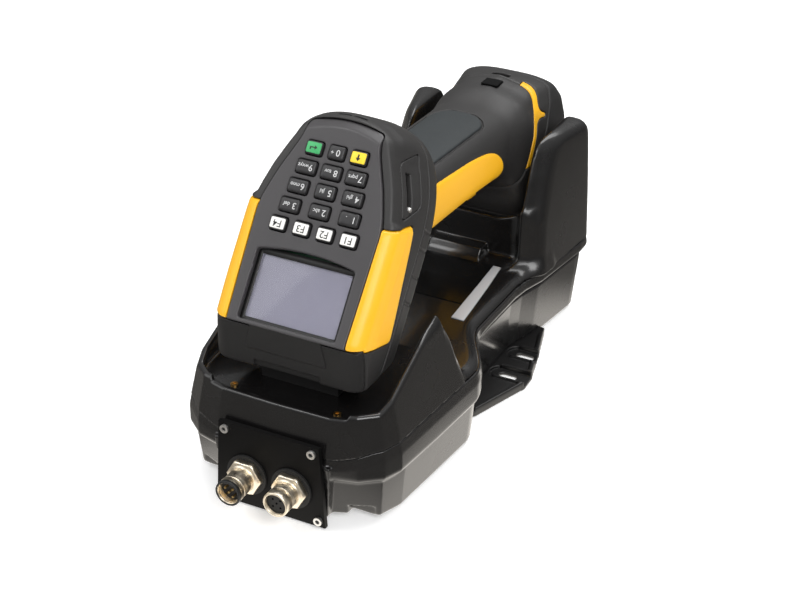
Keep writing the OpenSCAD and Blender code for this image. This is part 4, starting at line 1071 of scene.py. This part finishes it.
mat_grey = pebbled("mat_grey", (0.12, 0.12, 0.12), 0.6, 0.8, 0.03)
pane = glass("pane", (0.96, 0.96, 0.98), 0.03)
red_pane = glass("red_pane", (0.50, 0.05, 0.05), 0.05)
lcd_painted_glow = screen("lcd_painted_glow")


# Pieces

def fit_in(piece, body, slot, *replaced):
    if replaced:
        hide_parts(*replaced)
    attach(piece, body)


def small_mesh(name, points, faces, material, smooth=True, at=None):
    mesh = bpy.data.meshes.new(name)
    mesh.from_pydata([tuple(c * MM for c in p) for p in points], [], faces)
    mesh.validate()
    if smooth:
        mesh.shade_smooth()
    return piece_from(name, mesh, material, at)


def rings_mesh(name, rings, material, at=None, capped=True):
    """A skin through rings of points that all have the same count, with or without end caps."""
    n = len(rings[0])
    points = [p for ring in rings for p in ring]
    faces = [(i * n + j, i * n + (j + 1) % n, (i + 1) * n + (j + 1) % n, (i + 1) * n + j)
             for i in range(len(rings) - 1) for j in range(n)]
    if capped:
        faces.append(tuple(range(n - 1, -1, -1)))
        faces.append(tuple((len(rings) - 1) * n + j for j in range(n)))
    return small_mesh(name, points, faces, material, True, at)


def rounded_rect(half_x, half_y, radius, z, cx=0.0, cy=0.0, per_corner=6):
    ring = []
    for sx, sy, start in ((1, 1, 0), (-1, 1, 90), (-1, -1, 180), (1, -1, 270)):
        for i in range(per_corner + 1):
            a = math.radians(start + 90 * i / per_corner)
            ring.append((cx + sx * (half_x - radius) + radius * math.cos(a),
                         cy + sy * (half_y - radius) + radius * math.sin(a), z))
    return ring


def make_skins(body, share, at, rows):
    """Skins on one body, each in place of a node."""
    for name, field, low, high, step, material, slot, replaced in rows:
        fit_in(skin(name, field, low, high, step, material, share, at), body, slot, replaced)


def make_base():
    make_skins("base", 0.3, None, [
        ("base_top_skin", base_top_field, (-HIP_HALF, FRONT_Y, 10), (HIP_HALF, FAR_Y, EAR_Z), 0.75,
         base_black, "base_plastic", "base_top"),
        ("base_tub_skin", base_tub_field, (-HIP_HALF, FRONT_Y, 0), (HIP_HALF, FAR_Y, SEAM_Z), 0.75,
         base_black, "base_plastic", "base_tub"),
        ("bracket_skin", bracket_field, (-HIP_HALF, BRACKET_Y0, 0), (HIP_HALF, BRACKET_Y1, RIM_UP), 0.5,
         bracket_black, "black_trim", "wall_bracket")])


def make_foot():
    make_skins("scanner", 0.3, FACE_AT, [
        ("foot_front_skin", in_face(front_frame_field), (-38, -30, -27), (38, 104, 1), 0.5, shell_grey,
         "scanner_shell", "foot_front_frame"),
        ("foot_rear_skin", in_face(rear_shell_field), (-38, -45, -43), (38, 104, -25), 0.5, shell_grey,
         "scanner_shell", "foot_rear_shell"),
        ("foot_band_skin", in_face(band_field), (-39, -10, -26), (39, 62, 1), 0.5, band_yellow,
         "yellow", "foot_side_bands"),
        ("end_bumper_skin", in_face(end_bumper_field), (-36, -22, -24), (36, 6, 2), 0.5, trim_black,
         "scanner_shell", "end_bumper"),
        ("lanyard_skin", in_face(lanyard_field), (8, 57, -24), (39, 93, -4), 0.5, shell_grey,
         "black_trim", "lanyard_panel"),
        ("face_plate_skin", face_plate_field, (-32, 0, -4), (32, 96, 1), 0.35, face_grey,
         "face", "face_plate")])


def make_gun():
    body_low, body_high = (-33, -60, BEZEL_TOP_Z - 1), (33, HEAD_SPLIT_Y + 3, HEAD_TOP_Z + 4)
    head_low, head_high = (-34, HEAD_Y - 34, BEZEL_TOP_Z - 1), (34, HEAD_Y + 28, HEAD_TOP_Z + 1)
    nose_low, nose_high = (-34, HEAD_Y - 24, HEAD_TOP_Z - HEAD_LEN - 1), (34, HEAD_Y + 14, BEZEL_TOP_Z)
    make_skins("scanner", 0.35, None, [
        ("gun_skin", gun_body_field, body_low, body_high, 0.6, shell_grey, "scanner_shell", "gun_body"),
        ("grip_skin", grip_field, (-16, -35, 95), (16, 90, 125), 0.45, grip_slate, "grip", "grip_pad"),
        ("handle_band_skin", handle_band_field, (-27, -45, 75), (27, 76, 120), 0.45, band_yellow,
         "yellow", "handle_bands"),
        ("head_trim_skin", trim_field, head_low, head_high, 0.4, band_yellow, "yellow", "head_trim"),
        ("head_cover_skin", cover_field, head_low, head_high, 0.5, shell_grey,
         "scanner_shell", "head_cover"),
        ("head_bumper_skin", head_bumper_field, head_low, head_high, 0.5, bumper_rubber,
         "rubber", "head_bumper"),
        ("nose_skin", nose_field, nose_low, nose_high, 0.5, trim_black, "black_trim", "nose_bezel")])


KEY_FINISH = {"enter": ("key_green", key_green, ink_and_shade_black), "arrow": ("yellow", key_yellow, ink_and_shade_black)}
KEY_LETTERS = {"1": ".", "2": "abc", "3": "def", "4": "ghi", "5": "jkl", "6": "mno", "7": "pqrs",
               "8": "tuv", "9": "wxyz"}
FUNCTION_SIZE, DIGIT_SIZE, LETTER_SIZE, PLUS_SIZE = 4.4, 4.0, 2.5, 2.6


def key_finish(key):
    if key in KEY_FINISH:
        return KEY_FINISH[key]
    if key.startswith("f"):
        return "key_white", key_white, ink_and_shade_black
    return "key_dark", key_dark, ink_white


def make_key(key, kx, kv, width):
    slot, material, ink = key_finish(key)
    profile = [(0.0, -4.0), (0.0, KEY_RISE - 1.0), (0.1, KEY_RISE - 0.55), (0.32, KEY_RISE - 0.2),
               (0.7, KEY_RISE), (1.2, KEY_RISE + 0.1), (2.0, KEY_RISE + 0.14)]
    rings = [rounded_rect(width / 2 - inset, KEY_H / 2 - inset, max(0.3, 1.2 - 0.5 * inset), z, kx, kv)
             for inset, z in profile]
    cap = rings_mesh("cap_" + key, rings, key_dark, FACE_AT)
    fit_in(cap, "press_" + key, "key_dark", "key_" + key)
    if slot != "key_dark":
        fit_in(key_top(key, kx, kv, width, material), "press_" + key, slot)
    fit_in(key_legend(key, kx, kv, ink), "press_" + key, slot)


def key_top(key, kx, kv, width, material):
    """Coloured top set into a dark key."""
    profile = [(0.0, KEY_RISE - 0.3), (0.0, KEY_RISE + 0.12), (0.25, KEY_RISE + 0.3)]
    rings = [rounded_rect(width / 2 - 0.4 - inset, KEY_H / 2 - 0.65 - inset, 0.6 - inset, z, kx, kv)
             for inset, z in profile]
    return rings_mesh("top_" + key, rings, material, FACE_AT)


INK_UP = 0.36
INK_SPREAD = 0.02


def words(text, size, x, y):
    """Triangles of plain lettering, centred on a place, in millimetres."""
    shape = bpy.data.curves.new("words", "FONT")
    shape.body = text
    shape.size = size
    shape.align_x = "CENTER"
    shape.align_y = "CENTER"
    shape.resolution_u = 4
    shape.offset = INK_SPREAD
    holder = add_object("words", shape)
    bpy.context.view_layer.update()
    mesh = holder.to_mesh()
    points = [(x + v.co.x, y + v.co.y) for v in mesh.vertices]
    faces = [tuple(f.vertices) for f in mesh.polygons]
    holder.to_mesh_clear()
    bpy.data.objects.remove(holder)
    bpy.data.curves.remove(shape)
    return points, faces


RETURN_MARK = ([(1.7, 1.0), (1.1, 1.0), (1.1, 0.2), (-0.6, 0.2), (-0.6, -0.3), (1.7, -0.3), (-0.6, 0.9),
                (-1.9, -0.05), (-0.6, -1.0)],
               [(0, 1, 2, 5), (2, 3, 4, 5), (6, 7, 8)])
ARROW_MARK = ([(-0.4, -1.4), (0.4, -1.4), (0.4, 0.1), (-0.4, 0.1), (-1.2, 0.1), (1.2, 0.1), (0, 1.5)],
              [(0, 1, 2, 3), (4, 5, 6)])


def key_legend(key, kx, kv, ink):
    if key == "enter":
        parts = [RETURN_MARK]
    elif key == "arrow":
        parts = [ARROW_MARK]
    elif key.startswith("f"):
        parts = [words(key.upper(), FUNCTION_SIZE, 0, 0)]
    elif key == "0":
        parts = [words("0", DIGIT_SIZE, -1.2, 0), words("+", PLUS_SIZE, 1.6, 0)]
    else:
        parts = [words(key, DIGIT_SIZE, -2.7, 0), words(KEY_LETTERS[key], LETTER_SIZE, 1.0, -0.3)]
    points, faces = [], []
    for some, sides in parts:
        faces += [tuple(i + len(points) for i in side) for side in sides]
        points += some
    placed = [(kx - x, kv - y, KEY_RISE + INK_UP) for x, y in points]
    return small_mesh("legend_" + key, placed, faces, ink, False, FACE_AT)


PLATE_Y = FRONT_Y - 0.2 - 2.2
CONN_X = 11.1
CONN_Z = 17.0
CONN_R = 6.0
FLANGE_Y = PLATE_Y - 1.0
FLANGE_T = 3.0
FLANGE_R = 8.7
MALE_TIP_Y = FLANGE_Y - FLANGE_T - 12.4
FEMALE_TIP_Y = MALE_TIP_Y + 2
BORE_R = 5.0
CONN_SIDES = 72
THREADS, THREAD_STEPS = 3, 4


def full_turn(n):
    return [2 * math.pi * i / n for i in range(n)]


def turned_ring(x, y, radius_at):
    return [(x + radius_at(a) * math.cos(a), y, CONN_Z + radius_at(a) * math.sin(a))
            for a in full_turn(CONN_SIDES)]


def hexagon(a, flat):
    """Radius of a hexagon with its corners at a multiple of sixty degrees."""
    turn = (a % (math.pi / 3)) - math.pi / 6
    return flat / math.cos(turn)


def connector(side, tip_y, wide_ring):
    """Nickel shell: a chamfered hexagon flange, a threaded barrel and a bore that stays open."""
    x = side * CONN_X
    flat = FLANGE_R * math.cos(math.pi / 6)
    rows = [(FLANGE_Y, lambda a: 5.9), (FLANGE_Y, lambda a: min(hexagon(a, flat), FLANGE_R - 0.3)),
            (FLANGE_Y - FLANGE_T + 0.7, lambda a: min(hexagon(a, flat), FLANGE_R - 0.1)),
            (FLANGE_Y - FLANGE_T + 0.2, lambda a: min(hexagon(a, flat), FLANGE_R - 0.7) - 0.15),
            (FLANGE_Y - FLANGE_T, lambda a: flat - 0.35), (FLANGE_Y - FLANGE_T, lambda a: CONN_R - 0.5)]
    start = FLANGE_Y - FLANGE_T - 0.8
    end = tip_y + (5.2 if wide_ring else 4.4)
    steps = THREADS * THREAD_STEPS
    for i in range(steps + 1):
        groove = 0.05 * (1 - math.cos(2 * math.pi * i / THREAD_STEPS))
        rows.append((start + (end - start) * i / steps, lambda a, g=groove: CONN_R - 0.1 - g))
    tip = [(end - 0.1, CONN_R - 0.25), (end - 0.35, CONN_R), (tip_y + 0.5, CONN_R),
           (tip_y + 0.15, CONN_R - 0.12), (tip_y, CONN_R - 0.4), (tip_y, BORE_R + 0.25),
           (tip_y + 0.25, BORE_R), (FLANGE_Y, BORE_R)]
    rows += [(y, lambda a, r=r: r) for y, r in tip]
    rings = [turned_ring(x, y, r)[::-1] for y, r in rows]
    return rings_mesh("connector_" + ("left" if side < 0 else "right"), rings, nickel, None, False)


def collar(x, tip_y):
    """Black ring over the front edge of the connector with pins."""
    rows = [(tip_y + 1.8, CONN_R - 0.05), (tip_y + 1.7, CONN_R + 0.08), (tip_y - 0.05, CONN_R + 0.08),
            (tip_y - 0.2, CONN_R - 0.1), (tip_y - 0.2, 5.2), (tip_y + 1.0, 4.95)]
    rings = [turned_ring(x, y, lambda a, r=r: r)[::-1] for y, r in rows]
    return rings_mesh("connector_collar", rings, insert_black, None, False)


def make_connectors():
    left = connector(-1, MALE_TIP_Y, False)
    right = connector(1, FEMALE_TIP_Y, True)
    fit_in(left, "base", "nickel", "m12_shells")
    fit_in(right, "base", "nickel")
    fit_in(collar(-CONN_X, MALE_TIP_Y), "base", "black_trim")


TAB_HALF = 17.0
TAB_Z = (70.5, 83.5)


def end_tab_field(x, y, z):
    """Raised blank badge place in the middle of the end strip."""
    across = np.abs(x)
    lean = TAB_HALF + 0.45 * (TAB_Z[1] - z) / 2
    plate = smooth_max(across - lean, np.maximum(TAB_Z[0] - z, z - TAB_Z[1]), 1.0)
    f = foot_field(x, y, z)
    return np.maximum(smooth_max(plate, f - 0.55, 0.8), -(f + 0.6))


# Pale grey strips on the deck: a painted highlight that stands in for a reflection along it
HIGHLIGHT_LINE = [(29.8, 7.5, 3.2), (28.6, 22, 3.0), (27.1, 40, 2.6), (25.1, 61, 2.1)]


def highlight_ring(side, shrink, z):
    """Outline of a slim strip of painted highlight on the deck, narrower towards its far end."""
    ends = [HIGHLIGHT_LINE[0][1] + shrink] + [y for _, y, _ in HIGHLIGHT_LINE[1:-1]] + [HIGHLIGHT_LINE[-1][1] - shrink]
    right = [(x + half - shrink, y, z) for (x, _, half), y in zip(HIGHLIGHT_LINE, ends)]
    left = [(x - half + shrink, y, z) for (x, _, half), y in zip(HIGHLIGHT_LINE, ends)]
    return [(side * x, y, z) for x, y, z in right + left[::-1]][::side]


def make_painted_deck_highlights():
    for side, name in ((-1, "deck_highlight_left"), (1, "deck_highlight_right")):
        rings = [highlight_ring(side, shrink, DECK_Z + up) for shrink, up in ((0, -0.3), (0, 0.45), (0.3, 0.6))]
        fit_in(rings_mesh(name, rings, highlight_grey), "base", "display")


BORDER_W = -FACE_T - 0.06
BORDER_IN = 1.9


def make_display_border():
    """Printed black edge around the visible part of the display."""
    mid = (DISPLAY_V[0] + DISPLAY_V[1]) / 2
    half_v = (DISPLAY_V[1] - DISPLAY_V[0]) / 2
    outer = (DISPLAY_HALF + 0.3, half_v + 1.6, 0.5)
    inner = (DISPLAY_HALF - BORDER_IN, half_v - 1.5, 0.5)
    rows = [(outer, BORDER_W - 0.03), (outer, BORDER_W), (inner, BORDER_W), (inner, BORDER_W - 0.03),
            (outer, BORDER_W - 0.03)]
    rings = [rounded_rect(*size, w, 0, mid) for size, w in rows]
    border = rings_mesh("display_border", rings, ink_and_shade_black, FACE_AT, False)
    fit_in(border, "scanner", "black_trim")


SOCKET_SPOTS = [(21.5, 37.8), (24.0, 4.0)]
SOCKET_R = 1.05
SOCKET_Y = PLATE_Y - 0.75


def make_socket_shades():
    """Painted shade: dark patches at the bottoms of the sockets in the plate screws."""
    for side, word in ((-1, "left_"), (1, "right_")):
        for i, (x, z) in enumerate(SOCKET_SPOTS):
            ring = [(side * x + SOCKET_R * math.cos(a), SOCKET_Y, z + SOCKET_R * math.sin(a))
                    for a in arc(0, 315, 7)]
            shade = small_mesh("socket_" + word + str(i), ring, [tuple(range(8))], ink_and_shade_black, False)
            fit_in(shade, "base", "black_trim")


PIN_X, PIN_V = 33.9, 65.2
PIN_SIDES = 20
PIN_ROWS = [(-1.5, 1.2), (0.6, 1.2), (1.0, 1.0), (1.2, 0.6)]


def make_details():
    # Painted shade: dark sheets set into the top slots of the frame
    floors = skin("top_slot_floors", painted_slot_shade_field, (-9, -50, 140), (9, -20, 165), 0.4, lamp_and_shade_black, 1)
    fit_in(floors, "scanner", "black_trim")
    tab = skin("end_tab", end_tab_field, (-24, -101, 68), (24, -92, 86), 0.4, trim_black, 0.4)
    fit_in(tab, "scanner", "scanner_shell")
    pin_at = FACE_AT @ Matrix.Translation((0, PIN_V * MM, LANYARD_SLOT_W * MM))
    rings = [[(PIN_X + out, r * math.cos(a), r * math.sin(a)) for a in full_turn(PIN_SIDES)]
             for out, r in PIN_ROWS]
    fit_in(rings_mesh("lanyard_pin", rings, steel, pin_at), "scanner", "nickel")


NODE_FINISH = {
    "deck_label": label_black, "connector_plate": plate_black, "plate_screws": steel,
    "m12_gaskets": rubber_black, "m12_inserts": insert_black, "m12_pins": pin_bronze,
    "rubber_feet": rubber_black, "base_screws": steel, "base_board": board_green,
    "contact_block": trim_black, "contact_pin_left": gold, "contact_pin_right": gold,
    "brass_screws": brass, "nose_pad": rubber_black, "display_window": pane, "display_panel": lcd_painted_glow,
    "key_mat": mat_grey, "main_board": board_green, "beeper": trim_black, "charge_pads": gold,
    "battery": cell_blue, "trigger": band_yellow, "trigger_pin": steel, "trigger_switch": board_green,
    "scan_window": red_pane, "scan_engine": trim_black, "lamp_window": lamp_and_shade_black}
SOFT_EDGES = {"connector_plate": 0.5, "plate_screws": 0.25, "m12_gaskets": 0.25, "rubber_feet": 0.5,
              "contact_block": 0.6, "trigger": 1.0, "nose_pad": 0.4, "brass_screws": 0.2,
              "deck_label": 0.1, "battery": 1.0}


def finish_nodes():
    for name, material in NODE_FINISH.items():
        mesh = nodes[name].data
        mesh.materials.clear()
        mesh.materials.append(material)
    for name, width in SOFT_EDGES.items():
        bevel = nodes[name].modifiers.new("soft_edge", "BEVEL")
        bevel.width = width * MM
        bevel.segments = 3
        bevel.limit_method = "ANGLE"
        bevel.angle_limit = math.radians(40)


# Stage

FLOOR_HALF, FLOOR_Z = 6000, -0.3
GLOW_REACH, GLOW_LEVELS = (0.5, 2.5), (0.35, 1.0)
SKY_SPAN, SKY_LEVELS = (0, 0.9), (0.12, 0.7)
REFLECTION_REACH, REFLECTION_LEVELS = (0.125, 0.18), (1.6, 0.28)
REFLECTION_TINT = (1, 0.95, 0.88, 1)
FLOOR_STRETCH = 1.9
LIGHTS = [("key_light", (0.75, -0.75, 0.9), (0, 0, 0.06), (0.6, 0.6), 8),
          ("fill_light", (-0.9, -0.6, 0.6), (0, 0, 0.06), (0.9, 0.9), 3.5),
          ("rim_light", (-0.45, -0.35, 1.0), (0, -0.05, 0.05), (0.28, 0.28), 1.5),
          ("top_light", (0.1, 0.5, 1.2), (0, 0.02, 0.05), (1.0, 0.7), 10)]


def make_floor():
    """Pale paper that glows more further off; glossy rays see a painted reflection instead, bright close by
    and dark further off.
    """
    made, tree, shader = new_material("floor_paper")
    tone(tree, shader, (0.90, 0.90, 0.90), 0.01, noise(tree, 60))
    put(shader, {"Roughness": 0.9, "Emission Color": (1, 1, 1, 1)})
    place = node(tree, "ShaderNodeTexCoord")
    stretch = node(tree, "ShaderNodeVectorMath", operation="MULTIPLY")
    stretch.inputs[1].default_value = (FLOOR_STRETCH, 1, 1)
    tree.links.new(place.outputs["Object"], stretch.inputs[0])
    reach = node(tree, "ShaderNodeVectorMath", operation="LENGTH")
    tree.links.new(stretch.outputs["Vector"], reach.inputs[0])
    near = reach.outputs["Value"]
    glow = map_range(tree, near, GLOW_REACH, GLOW_LEVELS)
    tree.links.new(glow, shader.inputs["Emission Strength"])
    # Painted reflection: emission seen only by glossy rays, bright close by and dark further off
    level = map_range(tree, near, REFLECTION_REACH, REFLECTION_LEVELS, interpolation_type="SMOOTHSTEP")
    painted_reflection = node(tree, "ShaderNodeEmission", Color=REFLECTION_TINT)
    tree.links.new(level, painted_reflection.inputs["Strength"])
    path = node(tree, "ShaderNodeLightPath")
    mix = node(tree, "ShaderNodeMixShader")
    tree.links.new(path.outputs["Is Glossy Ray"], mix.inputs["Fac"])
    tree.links.new(shader.outputs["BSDF"], mix.inputs[1])
    tree.links.new(painted_reflection.outputs["Emission"], mix.inputs[2])
    tree.links.new(mix.outputs["Shader"], tree.nodes["Material Output"].inputs["Surface"])
    corners = [(sx * FLOOR_HALF, sy * FLOOR_HALF, FLOOR_Z) for sx, sy in ((-1, -1), (1, -1), (1, 1), (-1, 1))]
    floor = small_mesh("floor", corners, [(0, 1, 2, 3)], made, False)


def make_world():
    world = bpy.data.worlds.new("studio")
    bpy.context.scene.world = world
    world.use_nodes = True
    tree = world.node_tree
    back = tree.nodes["Background"]
    back.inputs["Color"].default_value = (1, 1, 1, 1)
    place = node(tree, "ShaderNodeTexCoord")
    parts = node(tree, "ShaderNodeSeparateXYZ")
    tree.links.new(place.outputs["Generated"], parts.inputs["Vector"])
    sky = map_range(tree, parts.outputs["Z"], SKY_SPAN, SKY_LEVELS)
    path = node(tree, "ShaderNodeLightPath")
    level = node(tree, "ShaderNodeMix")
    level.inputs["B"].default_value = 1.0
    tree.links.new(path.outputs["Is Camera Ray"], level.inputs["Factor"])
    tree.links.new(sky, level.inputs["A"])
    tree.links.new(level.outputs["Result"], back.inputs["Strength"])


def aimed(name, data, at, aim):
    """A new object in the scene at a place, turned towards another place."""
    made = add_object(name, data)
    made.location = at
    made.rotation_mode = "QUATERNION"
    made.rotation_quaternion = (Vector(aim) - Vector(at)).to_track_quat("-Z", "Y")
    return made


def soft_light(name, at, aim, size, watts):
    lamp = bpy.data.lights.new(name, "AREA")
    lamp.shape = "RECTANGLE"
    lamp.size, lamp.size_y = size
    lamp.energy = watts
    aimed(name, lamp, at, aim)


CAMERA_AT = (0.3762, -0.7131, 0.5158)
CAMERA_AIM = (-0.0177, 0.0406, 0.02265)
CAMERA_LENS = 89.76
SENSOR_WIDTH = 36


def make_camera():
    lens = bpy.data.cameras.new("photo_camera")
    lens.lens = CAMERA_LENS
    lens.sensor_width = SENSOR_WIDTH
    bpy.context.scene.camera = aimed("photo_camera", lens, CAMERA_AT, CAMERA_AIM)


make_camera()
make_base()
make_foot()
make_gun()
for key_row in KEY_SPOTS:
    make_key(*key_row)
make_connectors()
make_details()
make_painted_deck_highlights()
make_display_border()
make_socket_shades()
finish_nodes()
make_floor()
make_world()
for light in LIGHTS:
    soft_light(*light)
bpy.context.scene.view_settings.view_transform = "Standard"
